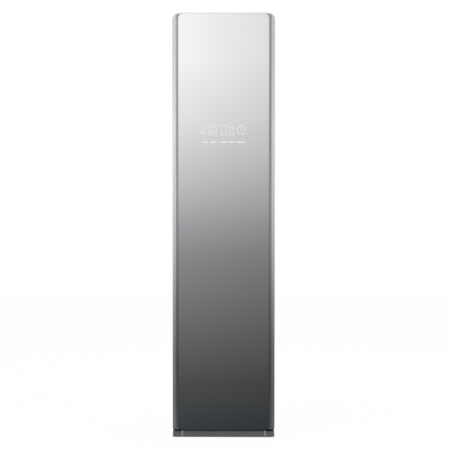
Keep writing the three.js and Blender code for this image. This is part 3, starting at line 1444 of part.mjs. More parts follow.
// Hinge brackets on the cabinet, each with its pin
function bracket(plateBottom, armLength, pinBottom, pinTop) {
  const outline = new THREE.Shape();
  outline.moveTo(hingeX + armHalf, hingeY);
  outline.lineTo(hingeX + armHalf, hingeY + hingeBack + doorGap + armLength);
  outline.lineTo(hingeX - armHalf, hingeY + hingeBack + doorGap + armLength);
  outline.lineTo(hingeX - armHalf, hingeY);
  outline.absarc(hingeX, hingeY, armHalf, Math.PI, Math.PI * 2);
  const plate = plan(outline, plateBottom, plateBottom + armPlate);
  return plate.add(rodZ(hingeX, hingeY, pinBottom, pinTop, pinRadius));
}

const upperPlate = bodyTop + fit;
let upperBracket = bracket(upperPlate, upperArmLength, upperPlate - pinLength, upperPlate + armPlate / 2);
for (const step of [1, 2]) {
  upperBracket = upperBracket.add(rodZ(hingeX, bodyFront + step * screwSpacing - screwRadius,
    upperPlate + armPlate / 2, upperPlate + armPlate + screwHead, screwRadius));
}
const lowerPlate = baseHeight + fit;
const lowerBracket = bracket(lowerPlate, -fit, lowerPlate + armPlate / 2, lowerPlate + pinLength);
addPart(cabinet, 'upper_hinge_bracket', upperBracket, 'steel', [hingeX, hingeY, upperPlate]);
addPart(cabinet, 'lower_hinge_bracket', lowerBracket, 'steel', [hingeX, hingeY, lowerPlate]);

// Cover over the upper hinge, kept low and narrow so that it hides behind the door's round corner
function hingeCover() {
  const w = hingeCoverWall;
  const r = hingeCoverCorner;
  const x1 = hingeX + armHalf + fit + w;
  const x0 = x1 - hingeCoverWidth;
  const y0 = bodyFront + sheet;
  const y1 = y0 + hingeCoverLength;
  const roof = upperPlate + armPlate + screwHead + fit;
  const shell = plan(rect(x0, x1, y0, y1, r), bodyTop - r, roof + w, hingeCoverEdge);
  const hollow = plan(rect(x0 + w, x1 - w, y0 - r, y1 - w, r - w), bodyTop - r, roof, w / 2);
  const below = block(x0 - overrun, x1 + overrun, y0 - overrun, y1 + overrun, bodyTop - 2 * r, upperPlate);
  return cut(shell, hollow, below);
}

addPart(cabinet, 'hinge_cover', hingeCover(), 'shellPaint', [bodyHalf, bodyFront, bodyTop]);

// Trouser press: the panel on its two pins, the pad, and the spring clip on top
function pressPanel() {
  const z0 = pressBottom;
  const z1 = pressTop;
  let panel = front(rect(pressLeft, pressRight, z0, z1, pressThick), pressY, pressY + pressThick,
    pressEdge);
  const face = pressY + pressThick;
  for (let i = 1; i <= pressRibs; i += 1) {
    const x = pressLeft + (pressWidth * i) / (pressRibs + 1);
    const rib = rect(x - pressRibWidth / 2, x + pressRibWidth / 2, z0 + pressPadMargin * 2,
      z1 - pressPadMargin * 2, pressRibWidth / 2);
    panel = panel.add(front(rib, face - pressEdge, face + pressRibRise, 0, cornerSteps));
  }
  const barrel = rodZ(pressHingeX, pressMiddle, z0, z1, pressBarrel);
  const web = block(pressRight - pressEdge, pressHingeX, pressMiddle - pressPin, pressMiddle + pressPin,
    z0, z1);
  const pin = rodZ(pressHingeX, pressMiddle, z0 - pressLug, z1 + pressLug, pressPin);
  const pull = front(rect(pressLeft - pressPullDepth, pressLeft + pressEdge * 2, (z0 + z1) / 2 -
    pressPullWidth / 2, (z0 + z1) / 2 + pressPullWidth / 2, pressPullDepth / 2), pressMiddle -
    pressPin, pressMiddle + pressPin);
  let clip = panel.add(barrel).add(web).add(pin).add(pull);
  const axisY = face + clipForward;
  const axisZ = z1 + clipEarHeight - clipEar;
  for (const sign of [-1, 1]) {
    const centre = pressCentre + sign * (clipWidth / 2 + runningGap + clipEar / 2);
    const ear = side(rect(pressY + pressEdge, axisY + clipEar, z1 - pressEdge * 3, z1 + clipEarHeight,
      clipEar / 2), centre - clipEar / 2, centre + clipEar / 2);
    clip = clip.add(ear);
  }
  const anvil = block(pressCentre - clipWidth / 2 - clipEar, pressCentre + clipWidth / 2 + clipEar,
    pressY + pressEdge, face - pressEdge / 2, z1 - pressEdge * 3, z1 + clipEarHeight / 2);
  const bore = rodX(axisY, axisZ, pressCentre - clipWidth, pressCentre + clipWidth, clipPin + fit);
  return cut(clip.add(anvil), bore);
}

function clipJaw() {
  const axisY = pressY + pressThick + clipForward;
  const axisZ = pressTop + clipEarHeight - clipEar;
  const t = clipJawThick / 2;
  const half = clipWidth / 2;
  const outline = new THREE.Shape();
  outline.moveTo(axisY - t, axisZ - clipJawDrop).lineTo(axisY + t, axisZ - clipJawDrop);
  outline.lineTo(axisY + t * 1.6, axisZ).lineTo(axisY + t * 3, axisZ + clipLever);
  outline.lineTo(axisY + t, axisZ + clipLever).lineTo(axisY - t * 1.6, axisZ).closePath();
  const jaw = side(outline, pressCentre - half, pressCentre + half);
  const pin = rodX(axisY, axisZ, pressCentre - half - runningGap - clipEar, pressCentre + half +
    runningGap + clipEar, clipPin);
  return jaw.add(pin);
}

function pressPad() {
  const y1 = pressY - fit;
  return front(rect(pressLeft + pressPadMargin, pressRight - pressPadMargin, pressBottom +
    pressPadMargin, pressTop - pressPadMargin, pressPadMargin), y1 - pressPadThick, y1,
  pressPadThick / 4);
}

addPart(press, 'press_panel', pressPanel(), 'liner', [pressHingeX, pressMiddle, pressBottom]);
addPart(press, 'press_pad', pressPad(), 'pad', [pressCentre, pressY, pressBottom]);
addPart(press, 'clip_jaw', clipJaw(), 'greyPlastic', [pressCentre, pressY, pressTop]);

export default group;
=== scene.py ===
"""Clothes care steam cabinet: finishes, moulded detail, printed signs and a plain studio on the frame."""

import json
import math

import bmesh
import bpy
import numpy as np
from bpy.props import FloatProperty, FloatVectorProperty, PointerProperty
from bpy.types import Operator, Panel, PropertyGroup
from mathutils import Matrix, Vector

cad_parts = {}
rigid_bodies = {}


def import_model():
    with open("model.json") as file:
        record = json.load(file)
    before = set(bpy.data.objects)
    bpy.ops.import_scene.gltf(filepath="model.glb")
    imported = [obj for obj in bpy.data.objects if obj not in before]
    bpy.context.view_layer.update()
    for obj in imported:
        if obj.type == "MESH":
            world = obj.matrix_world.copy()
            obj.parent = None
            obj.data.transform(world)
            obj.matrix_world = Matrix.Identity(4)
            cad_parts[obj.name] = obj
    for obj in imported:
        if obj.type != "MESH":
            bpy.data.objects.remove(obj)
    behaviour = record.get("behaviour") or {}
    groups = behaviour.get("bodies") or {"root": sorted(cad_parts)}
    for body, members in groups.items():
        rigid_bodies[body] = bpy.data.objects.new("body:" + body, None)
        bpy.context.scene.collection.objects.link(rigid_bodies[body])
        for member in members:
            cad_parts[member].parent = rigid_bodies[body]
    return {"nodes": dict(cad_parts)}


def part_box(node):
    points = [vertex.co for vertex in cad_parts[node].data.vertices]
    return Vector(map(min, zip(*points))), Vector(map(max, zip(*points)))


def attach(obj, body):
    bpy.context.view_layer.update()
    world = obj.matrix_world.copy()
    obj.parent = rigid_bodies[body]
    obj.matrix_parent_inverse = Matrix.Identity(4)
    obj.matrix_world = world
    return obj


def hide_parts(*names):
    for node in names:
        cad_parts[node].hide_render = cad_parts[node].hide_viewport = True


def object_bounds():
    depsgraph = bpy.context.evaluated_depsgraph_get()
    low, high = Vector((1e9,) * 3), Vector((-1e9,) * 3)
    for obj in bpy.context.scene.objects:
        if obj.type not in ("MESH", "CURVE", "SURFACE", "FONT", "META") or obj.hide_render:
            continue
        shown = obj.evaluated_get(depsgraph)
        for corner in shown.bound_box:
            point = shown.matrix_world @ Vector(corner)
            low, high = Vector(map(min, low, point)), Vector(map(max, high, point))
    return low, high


bl_info = {
    "name": "Clothes Care Steam Cabinet",
    "version": (1, 0, 0),
    "blender": (4, 5, 0),
    "location": "3D View > Sidebar > Steam Cabinet",
    "description": "Builds the finishes, trims, signs, soft goods and studio of a clothes care steam cabinet",
    "category": "Object",
}

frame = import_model()
NODES = frame["nodes"]
CAD_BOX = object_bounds()
MM = 0.001

# Angles in degrees above which an edge stays sharp: on bent sheet, on mouldings, and on finely curved pieces
SHEET, MOULDED, CURVED = 32, 40, 50

# Finishes that stand ready for every piece, by name
FINISHES = {}


def box(node):
    """Lowest and highest corner of a CAD node as two rows of an array, in metres."""
    return np.array([list(corner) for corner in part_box(node)])


def body_of(node):
    """Name of the CAD body that a node rides on."""
    return NODES[node].parent.name.split(":")[-1]


def slot_of(node):
    """Name of a CAD node's material slot."""
    return NODES[node].data.materials[0].name


def mesh_arrays(mesh):
    """Points of a mesh, and the number of the point at each corner of its faces."""
    points = np.empty(len(mesh.vertices) * 3)
    corners = np.empty(len(mesh.loops), int)
    mesh.vertices.foreach_get("co", points)
    mesh.loops.foreach_get("vertex_index", corners)
    return points.reshape(-1, 3), corners


def placed(name, data):
    """A new object of the scene with the data."""
    thing = bpy.data.objects.new(name, data)
    bpy.context.scene.collection.objects.link(thing)
    return thing


# Surfaces from numpy


class Form:
    """Points and faces of one piece, gathered from grids, lids and copied solids."""

    def __init__(self):
        self.points, self.faces, self.paints, self.count = [], [], [], 0

    def take(self, points, faces, paint=0):
        self.points.append(np.asarray(points, float).reshape(-1, 3))
        self.faces += [tuple(face) for face in faces]
        self.paints += [paint] * len(faces)
        self.count += len(self.points[-1])
        return self

    def grid(self, points, wrap_u=False, wrap_v=False, paint=0):
        """Four-sided faces between neighbouring rows and columns of a grid of points."""
        nu, nv = points.shape[:2]
        index = np.arange(nu * nv).reshape(nu, nv) + self.count
        index = np.concatenate([index, index[:1]]) if wrap_u else index
        index = np.concatenate([index, index[:, :1]], 1) if wrap_v else index
        quads = np.stack([index[:-1, :-1], index[1:, :-1], index[1:, 1:], index[:-1, 1:]], -1)
        return self.take(points, quads.reshape(-1, 4).tolist(), paint)

    def lid(self, ring, paint=0):
        """One flat face over a ring of points."""
        return self.take(ring, [range(self.count, self.count + len(ring))], paint)

    def shell(self, points, paint=0):
        """A grid that closes on itself sideways, with a lid on each end."""
        return self.grid(points, wrap_v=True, paint=paint).lid(points[0], paint).lid(points[-1], paint)

    def prism(self, ring, axis, ends):
        """A flat ring of points carried between two places on the axis that it lacks, closed at both."""
        return self.shell(np.stack([np.insert(ring, axis, end, axis=1) for end in ends]))

    def boxes(self, low, high):
        """Upright boxes from arrays of lowest and highest corners."""
        low, high = np.atleast_2d(low), np.atleast_2d(high)
        pick = np.array([[i & 1, i >> 1 & 1, i >> 2 & 1] for i in range(8)])
        points = low[:, None] + (high - low)[:, None] * pick
        sides = np.array([[0, 1, 3, 2], [4, 6, 7, 5], [0, 4, 5, 1], [2, 3, 7, 6], [0, 2, 6, 4], [1, 5, 7, 3]])
        faces = self.count + 8 * np.arange(len(low))[:, None, None] + sides
        return self.take(points, faces.reshape(-1, 4).tolist())

    def solid(self, node):
        """The triangles of a CAD solid."""
        points, corners = mesh_arrays(NODES[node].data)
        return self.take(points, (corners.reshape(-1, 3) + self.count).tolist())

    def mesh(self, name):
        """A mesh of the points and faces as they are."""
        mesh = bpy.data.meshes.new(name)
        mesh.from_pydata(np.concatenate(self.points), [], self.faces)
        return mesh

    def piece(self, name, finishes, replaces=(), body="cabinet", crease=SHEET, merge=2e-6, flat=True):
        """Makes the piece: doubles merged, normals out, flat faces whole, edges above the crease sharp.

        A piece in a CAD node's place has the node's body, and the node is hidden.
        """
        mesh = self.mesh(name)
        mesh.polygons.foreach_set("material_index", np.array(self.paints, np.int32))
        work = bmesh.new()
        work.from_mesh(mesh)
        bmesh.ops.remove_doubles(work, verts=work.verts, dist=merge)
        bmesh.ops.recalc_face_normals(work, faces=work.faces)
        if flat:
            least_turn = math.radians(0.4)
            bmesh.ops.dissolve_limit(work, angle_limit=least_turn, verts=work.verts, edges=work.edges,
                                     delimit={"MATERIAL"})
        for face in work.faces:
            face.smooth = True
        limit = math.radians(crease)
        for edge in work.edges:
            edge.smooth = len(edge.link_faces) == 2 and edge.calc_face_angle(0) < limit
        work.to_mesh(mesh)
        work.free()
        for finish in finishes:
            mesh.materials.append(FINISHES[finish])
        thing = placed(name, mesh)
        if replaces:
            body, slot = body_of(replaces[0]), slot_of(replaces[0])
        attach(thing, body)
        if replaces:
            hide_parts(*replaces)
        return thing


def rounded(thing, width):
    """Gives a piece the small rounded edges of its making."""
    bevel = thing.modifiers.new("edge rounding", "BEVEL")
    bevel.width = width
    bevel.segments = 2
    bevel.limit_method = "ANGLE"
    bevel.angle_limit = math.radians(34)
    bevel.harden_normals = True
    bevel.use_clamp_overlap = True


def dressed(finish, rounding, crease, *nodes):
    """Merged copies of CAD solids in their places, smooth on curves and rounded by millimetres on edges."""
    for node in nodes:
        thing = Form().solid(node).piece(node + "_finish", [finish], [node], crease=crease)
        if rounding:
            rounded(thing, rounding * MM)


def painted(finish, *nodes):
    """Gives a finish to CAD nodes whose shape is right as it is."""
    for node in nodes:
        NODES[node].data.materials[0] = FINISHES[finish]


def turns(count):
    """Angles of one whole turn in equal steps."""
    return np.linspace(0, 2 * np.pi, count, endpoint=False)


def outline(half, low, high, radius, steps=8):
    """Rounded rectangle, anticlockwise: quarter circles of one radius, or of an upper and a lower one."""
    radius = np.repeat(np.broadcast_to(radius, 2)[[0, 0, 1, 1]], steps + 1)
    turn = np.linspace(0, np.pi / 2, steps + 1)
    angle = (turn[None] + np.arange(4)[:, None] * np.pi / 2).ravel()
    sign_x = np.repeat([1, -1, -1, 1], steps + 1)
    sign_z = np.repeat([1, 1, -1, -1], steps + 1)
    middle, reach = (low + high) / 2, (high - low) / 2
    x = sign_x * (half - radius) + radius * np.cos(angle)
    z = middle + sign_z * (reach - radius) + radius * np.sin(angle)
    return np.stack([x, z], -1)


def ring_sweep(profile, half, low, high, radius, steps=8):
    """A closed profile of (inset, y) carried round a rounded rectangle; its corners shrink with the inset."""
    least, rows = 0.5 * MM, []
    for inset, y in profile:
        corner = np.maximum(np.subtract(radius, inset), least)
        ring = outline(half - inset, low + inset, high - inset, corner, steps)
        rows.append(np.insert(ring, 1, y, axis=1))
    return np.stack(rows, 1)


def smooth_path(points, steps):
    """Curve through the points: on each span the cubic of Catmull and Rom, from its four nearest points."""
    p = np.asarray(points, float)
    p = np.concatenate([2 * p[:1] - p[1:2], p, 2 * p[-1:] - p[-2:-1]])
    t = np.linspace(0, 1, steps, endpoint=False)[:, None]
    a, b, c, d = p[:-3, None], p[1:-2, None], p[2:-1, None], p[3:, None]
    span = b + 0.5 * t * (c - a + t * (2 * a - 5 * b + 4 * c - d + t * (3 * (b - c) + d - a)))
    return np.concatenate([span.reshape(-1, 3), p[-2:-1]])


def tube(path, radius, across, sides):
    """Round tube: at each point of a flat path a circle spanned by the path's normal and the across axis."""
    along = np.gradient(path, axis=0)
    along /= np.linalg.norm(along, axis=1, keepdims=True)
    across = np.asarray(across, float)
    up = np.cross(along, across)
    up /= np.linalg.norm(up, axis=1, keepdims=True)
    turn = turns(sides)
    circle = np.cos(turn)[None, :, None] * across + np.sin(turn)[None, :, None] * up[:, None]
    return path[:, None] + np.broadcast_to(np.asarray(radius), len(path))[:, None, None] * circle


def lathe(profile, centre, axis, sides):
    """Profile of (radius, height) turned about the Y or Z axis through the centre."""
    radius, height = np.asarray(profile, float).T
    turn = turns(sides)
    u = radius[:, None] * np.cos(turn)
    v = radius[:, None] * np.sin(turn)
    h = np.broadcast_to(height[:, None], u.shape)
    order = {"Y": (u, h, v), "Z": (u, v, h)}[axis]
    return np.stack(order, -1) + np.asarray(centre, float)


def ribbon(path, width, y0, y1, closed=False):
    """Flat stroke in the X and Z plane: the path moved half a width each way, between two depths."""
    path = np.asarray(path, float)
    ends = np.concatenate([path[-1:], path, path[:1]]) if closed else path
    along = np.gradient(ends, axis=0)
    along = along[1:-1] if closed else along
    along /= np.linalg.norm(along, axis=1, keepdims=True)
    normal = np.stack([-along[:, 1], along[:, 0]], -1) * width / 2
    left, right = path + normal, path - normal
    rows = [np.insert(side, 1, y, axis=1) for side, y in ((left, y0), (right, y0), (right, y1), (left, y1))]
    return np.stack(rows, 1)


# Materials


class Nodes:
    """Adds and joins the nodes of one tree."""

    def __init__(self, tree):
        self.tree = tree
        tree.nodes.clear()

    def add(self, kind, **settings):
        node = self.tree.nodes.new("ShaderNode" + kind)
        for key, value in settings.items():
            setattr(node, key, value)
        return node

    def join(self, value, socket):
        """Joins an output to a socket, or sets the socket's own value."""
        if isinstance(value, bpy.types.NodeSocket):
            self.tree.links.new(value, socket)
        else:
            socket.default_value = value

    def wire(self, node, **values):
        """Sets or joins a node's inputs by name, an underscore standing for a space."""
        for key, value in values.items():
            self.join(value, node.inputs[key.replace("_", " ")])
        return node

    def joined(self, node, *values):
        """A node's first output, its inputs set or joined in their order."""
        for value, socket in zip(values, node.inputs):
            self.join(value, socket)
        return node.outputs[0]

    def maths(self, operation, a, b=0.0):
        return self.joined(self.add("Math", operation=operation), a, b)

    def times(self, a, b):
        return self.maths("MULTIPLY", a, b)

    def blend(self, share_of_second, first, second):
        """Two shaders mixed by a share."""
        return self.joined(self.add("MixShader"), share_of_second, first, second)


class Finish(Nodes):
    """One node material on Object coordinates."""

    def __init__(self, name):
        self.material = bpy.data.materials.new(name)
        self.material.use_nodes = True
        super().__init__(self.material.node_tree)
        self.out = self.add("OutputMaterial")
        self.shader = self.add("BsdfPrincipled")
        self.join(self.shader.outputs["BSDF"], self.out.inputs["Surface"])
        self.place = self.add("TexCoord").outputs["Object"]
        FINISHES[name] = self.material

    def set(self, **values):
        self.wire(self.shader, **values)
        return self

    def noise(self, scale, detail=2.0, rough=0.5, stretch=(1, 1, 1)):
        """Noise over the place, or over the place stretched along the axes."""
        place = self.place
        if stretch != (1, 1, 1):
            mapping = self.add("Mapping", vector_type="POINT")
            place = self.wire(mapping, Vector=place, Scale=stretch).outputs["Vector"]
        node = self.add("TexNoise")
        return self.wire(node, Vector=place, Scale=scale, Detail=detail, Roughness=rough).outputs["Fac"]

    def axis(self, name):
        return self.wire(self.add("SeparateXYZ"), Vector=self.place).outputs[name]

    def span(self, value, low, high, to_low, to_high):
        """A value taken from one range to another, and held at its ends."""
        node = self.add("MapRange")
        self.wire(node, Value=value, From_Min=low, From_Max=high, To_Min=to_low, To_Max=to_high)
        return node.outputs["Result"]

    def ramp(self, value, stops):
        """Colours by place on a scale from 0 to 1."""
        node = self.add("ValToRGB")
        self.join(value, node.inputs["Fac"])
        band = node.color_ramp
        while len(band.elements) < len(stops):
            band.elements.new(0.5)
        for element, (place, colour) in zip(band.elements, stops):
            element.position = place
            element.color = (*colour, 1)
        return node.outputs["Color"]

    def shaded(self, value, tint, darkest, lightest, low=0.3, high=0.7):
        """A colour times a factor that climbs as the value goes from low to high."""
        ends = [tuple(min(1, c * factor) for c in tint) for factor in (darkest, lightest)]
        return self.ramp(value, list(zip((low, high), ends)))

    def varied(self, tint, scale, amount):
        """A colour that wanders a little lighter and darker with a noise."""
        return self.shaded(self.noise(scale, 3.0), tint, 1 - amount, 1 + amount)

    def scaled(self, colour, factor):
        node = self.add("VectorMath", operation="SCALE")
        self.join(colour, node.inputs[0])
        return self.wire(node, Scale=factor).outputs[0]

    def relief(self, height, strength, distance):
        node = self.wire(self.add("Bump"), Height=height, Strength=strength, Distance=distance)
        return self.set(Normal=node.outputs["Normal"])

    def uneven(self, value, low, high):
        """Roughness between two values, by a noise."""
        return self.set(Roughness=self.span(value, 0.3, 0.7, low, high))


def srgb(*values):
    """Linear colour from red, green and blue as a screen shows them, 0 to 255."""
    v = np.array(values, float) / 255
    return tuple(np.where(v <= 0.04045, v / 12.92, ((v + 0.055) / 1.055) ** 2.4))


def tone(value):
    """Linear grey from a screen value, 0 to 255, a touch cooler than neutral."""
    return srgb(value, min(255, value + 1), min(255, value + 2))


def setting(kind, **fixed):
    """Maker of one kind of setting from a name, a description and a default."""
    def make(name, text, value, **own):
        return kind(name=name, description=text, default=value, **{**fixed, **own})
    return make


colour = setting(FloatVectorProperty, subtype="COLOR", size=3, min=0, max=1)
length = setting(FloatProperty, unit="LENGTH", precision=5, min=0)
share = setting(FloatProperty, subtype="FACTOR", min=0, max=1)
angle = setting(FloatProperty, subtype="ANGLE")
power = setting(FloatProperty, unit="POWER", min=0)


class GlassSettings(PropertyGroup):
    """Mirror glass door front."""

    # The head, middle and foot tones are a painted reflection on the mirror, and the slant is painted light
    # from the left
    head: colour("Head tone", "Glass tone at the top of the door", srgb(234, 234, 235))
    middle: colour("Middle tone", "Glass tone half way up the door", srgb(150, 152, 154))
    foot: colour("Foot tone", "Glass tone at the bottom of the door", srgb(54, 58, 60))
    slant: share("Slant", "How much lighter the left edge and darker the right one is than the middle", 0.11)
    roughness: share("Roughness", "Roughness of the mirror coating", 0.05)
    arris: length("Arris width", "Width of the polished edge", 1.2 * MM)
    upper_corner: length("Upper corner", "Radius of the two upper corners", 24 * MM)
    lower_corner: length("Lower corner", "Radius of the two lower corners", 18 * MM)


class TrimSettings(PropertyGroup):
    """Satin aluminium side trims and their cove groove."""

    # Rail tones by height are a painted reflection, lighter at the top; the cove's darker tones are painted
    # shade in the groove
    rail_head: colour("Rail head", "Tone of the rail in its upper half", srgb(198, 198, 199))
    rail_foot: colour("Rail foot", "Tone of the rail near the bottom", srgb(93, 95, 96))
    cove_head: colour("Cove head", "Tone of the groove at the top", srgb(156, 157, 158))
    cove_foot: colour("Cove foot", "Tone of the groove near the bottom", srgb(64, 66, 67))
    metal: share("Metal", "How metallic the anodised surface is", 0.75)
    roughness: share("Roughness", "Roughness of the anodised surface", 0.32)
    # Painted shade near black on the trims' low ends, and a painted highlight on their top ends
    dark_end: length("Dark end", "Height up to which the trims' low ends are black", 37 * MM)
    bright_end: length("Bright end", "Height from which the trims' top ends are bright", 1847 * MM)


class SignSettings(PropertyGroup):
    """Signs printed on the touch area of the glass."""

    ink: colour("Ink", "Colour of the print", srgb(230, 231, 231))
    stroke: length("Stroke", "Width of the lines of a sign", 2 * MM)
    rise: length("Rise", "Thickness of the print", 0.15 * MM)
    size: length("Sign height", "Height of the row of signs", 44 * MM)


class ShellSettings(PropertyGroup):
    """Outer sheet metal, base covers and fasteners."""

    paint: colour("Paint", "Colour of the side panels and top cover", srgb(150, 153, 156))
    cover: colour("Base cover", "Colour of the kick strip and leg covers", srgb(82, 84, 85))
    zinc: colour("Zinc", "Colour of the rear panel and base frame", srgb(172, 175, 177))
    screw: length("Screw head", "Diameter of a pan head screw", 8 * MM)


class ChamberSettings(PropertyGroup):
    """Moulded lining, shelf, hangers and tanks."""

    liner: colour("Lining", "Colour of the moulded lining", srgb(226, 228, 229))
    dark: colour("Dark plastic", "Colour of the hangers, touch module and fan wheel", srgb(38, 40, 42))
    grey: colour("Grey plastic", "Colour of the housings", srgb(112, 116, 120))
    tank: colour("Tank", "Colour of the water tanks", srgb(176, 198, 210))
    seal: colour("Seal", "Colour of the door seal", srgb(64, 66, 68))
    pad: colour("Pad cover", "Colour of the heat pad's cloth", srgb(196, 199, 202))


class StageSettings(PropertyGroup):
    """Floor, lamps and camera."""

    floor: colour("Floor", "Colour of the floor", (0.93, 0.93, 0.93))
    distance: length("Camera distance", "From the glass to the camera", 8.0, min=1)
    aim_x: length("Aim across", "Sideways place of the picture's middle", 0.0057, min=-1)
    aim_z: length("Aim height", "Height of the picture's middle", 0.9286)
    width: length("Picture width", "Width that the picture takes in at the glass", 1.959)
    tilt: angle("Tilt", "How far the camera looks down", math.radians(2.1))
    roll: angle("Roll", "How far the camera leans to one side", math.radians(-0.02))
    key: power("Key lamp", "Power of the main lamp", 70)
    fill: power("Fill lamp", "Power of the fill lamp", 34)
    rear: power("Rear lamp", "Power of the lamp behind", 40)
    sky: share("Sky", "Strength of the plain surroundings on matt surfaces", 0.62)


class CabinetSettings(PropertyGroup):
    """All settings of the steam cabinet."""

    glass: PointerProperty(type=GlassSettings)
    trim: PointerProperty(type=TrimSettings)
    signs: PointerProperty(type=SignSettings)
    shell: PointerProperty(type=ShellSettings)
    chamber: PointerProperty(type=ChamberSettings)
    stage: PointerProperty(type=StageSettings)


def settings():
    return bpy.context.scene.steam_cabinet


# Finishes of this cabinet

DOOR = box("mirror_glass")
EDGE = DOOR[1][0]
SIDE, FRONT = -box("left_trim")[0][0], box("left_trim")[0][1]
TOP = CAD_BOX[1][2]

# Distances from the cabinet's middle at which the trims' painted light changes: where the groove's painted
# shade gives way to the rail, where it deepens towards the glass, where a painted glint lies on the left
# rail, and where the front face ends
GROOVE_SIDE = (EDGE + 7.9 * MM, EDGE + 10.9 * MM)
GROOVE_FALL = (EDGE + 1.5 * MM, EDGE + 9 * MM)
GLINT_SIDE = (SIDE - 7 * MM, SIDE - 5 * MM)
FACE_END = (SIDE - 0.3 * MM, SIDE - 0.1 * MM)


def graded(finish, stops):
    """Colour by height, which carries the painted reflection and shade of the glass and trims: each stop is a
    height in metres and a colour.
    """
    return finish.ramp(finish.span(finish.axis("Z"), 0, TOP, 0, 1), [(z / TOP, c) for z, c in stops])


def painted_side_light(finish, tint, amount):
    """Painted light from the left: makes a colour lighter to the left and darker to the right by the same
    share.
    """
    return finish.scaled(tint, finish.span(finish.axis("X"), -EDGE, EDGE, 1 + amount, 1 - amount))


def glass_finishes():
    """Mirror coating and polished edge over faint waves, in tones by height that are a painted reflection,
    lighter at the top.
    """
    s = settings().glass
    # Painted reflection: the mirror's tones by height, dark at the foot and light at the head
    stops = [(0.05, s.foot), (0.24, tone(71)), (0.43, tone(93)), (0.68, tone(118)), (0.80, tone(130)),
             (0.93, s.middle), (1.16, tone(188)), (1.39, tone(215)), (1.66, s.head)]
    mirror = Finish("mirror_coating")
    waves = mirror.noise(3.0, 1.0)
    mirror.set(Base_Color=painted_side_light(mirror, graded(mirror, stops), s.slant), Metallic=1.0)
    mirror.uneven(mirror.noise(14.0, 3.0), s.roughness * 0.8, s.roughness * 1.3)
    mirror.relief(waves, 0.02, 0.2 * MM)
    arris = Finish("polished_arris")
    # Painted highlight: the polished edge a little brighter than the glass at each height
    bright = [(z, tuple(min(1.0, 1.1 * c + 0.015) for c in tint)) for z, tint in stops]
    arris.set(Base_Color=painted_side_light(arris, graded(arris, bright), s.slant), Metallic=0.85)
    arris.uneven(arris.noise(400.0), 0.1, 0.2)


def trim_ends(metal, across, height):
    """Factor on the trims' tone: painted shade, near black, on the low ends, a painted highlight on the top
    ends, and a painted glint down the left rail's edge that turns to slight painted shade near its top.
    """
    s = settings().trim
    foot = metal.span(height, s.dark_end - 0.5 * MM, s.dark_end + 0.5 * MM, 0.22, 1.0)
    crown = metal.span(height, s.bright_end - 4 * MM, s.bright_end + MM, 1.0, 1.5)
    near, far = GLINT_SIDE
    left, face = metal.span(metal.axis("X"), -far, -near, 1.0, 0.0), metal.span(across, *FACE_END, 1.0, 0.0)
    lower, upper = metal.span(height, 0.45, 0.95, 1.33, 1.0), metal.span(height, 1.25, 1.6, 1.0, 0.92)
    glint = metal.times(metal.maths("SUBTRACT", metal.times(lower, upper), 1.0), metal.times(left, face))
    return metal.times(metal.times(foot, crown), metal.maths("ADD", glint, 1.0))


def trim_finishes():
    """Satin metal over a fine grain, in painted light: tones by height on the rail as a painted reflection,
    and darker ones in the groove as painted shade.
    """
    s = settings().trim
    # Painted reflection on the rail and painted shade in the groove, both lighter towards the top
    rail_stops = [(0.036, tone(86)), (0.052, tone(100)), (0.16, s.rail_foot), (0.38, tone(106)),
                  (0.60, tone(137)), (0.82, tone(174)), (1.05, s.rail_head), (1.35, tone(210)),
                  (1.75, tone(196)), (1.84, tone(198))]
    cove_stops = [(0.07, tone(70)), (0.30, s.cove_foot), (0.60, tone(94)), (0.82, tone(122)),
                  (1.05, tone(142)), (1.70, s.cove_head)]
    metal = Finish("satin_rail")
    grain = metal.noise(1.0, 4.0, 0.6, (2600, 2600, 9))
    across, height = metal.maths("ABSOLUTE", metal.axis("X")), metal.axis("Z")
    inside = metal.span(metal.axis("Y"), FRONT + 0.2 * MM, FRONT + 1.2 * MM, 0, 1)
    # Painted shade darker towards the glass, and a painted highlight near the top, both only in the groove
    deep = metal.span(across, *GROOVE_FALL, 0.95, 1.12)
    closed = metal.span(height, s.bright_end - 9 * MM, s.bright_end + MM, 1.0, 1.85)
    blend = metal.add("Mix", data_type="RGBA")
    metal.join(metal.times(inside, metal.span(across, *GROOVE_SIDE, 1, 0)), blend.inputs["Factor"])
    metal.join(graded(metal, rail_stops), blend.inputs["A"])
    metal.join(metal.scaled(graded(metal, cove_stops), metal.times(deep, closed)), blend.inputs["B"])
    # Painted light from the left, and the painted shade, highlight and glint of the trims' ends
    tint = metal.scaled(painted_side_light(metal, blend.outputs["Result"], 0.095), trim_ends(metal, across, height))
    metal.set(Base_Color=tint, Metallic=s.metal)
    metal.uneven(grain, s.roughness * 0.85, s.roughness * 1.2)
    metal.relief(grain, 0.06, 0.05 * MM)


def grained(name, tint, roughness, amount, scale, strength, metal=0.0, spread=0.07, lean=0.0):
    """Moulded or painted surface: a fine grain in its relief, a colour that wanders a little, and with a
    lean, painted light from the left.
    """
    finish = Finish(name)
    finish.set(Base_Color=painted_side_light(finish, finish.varied(tint, 5.0, spread), lean), Metallic=metal)
    fine = finish.noise(scale, 3.0, 0.6)
    finish.uneven(fine, roughness - amount, roughness + amount)
    return finish.relief(fine, strength, 0.1 * MM)


def brushed(name, tint, roughness, along):
    """Drawn or rolled metal: streaks stretched along one axis in tone, gloss and relief."""
    finish = Finish(name)
    stretch = tuple(12 if axis == along else 1400 for axis in "XYZ")
    streaks = finish.noise(1.0, 4.0, 0.65, stretch)
    finish.set(Base_Color=finish.shaded(streaks, tint, 0.88, 1.08), Metallic=1.0)
    finish.uneven(streaks, roughness * 0.8, roughness * 1.25)
    finish.relief(streaks, 0.08, 0.05 * MM)


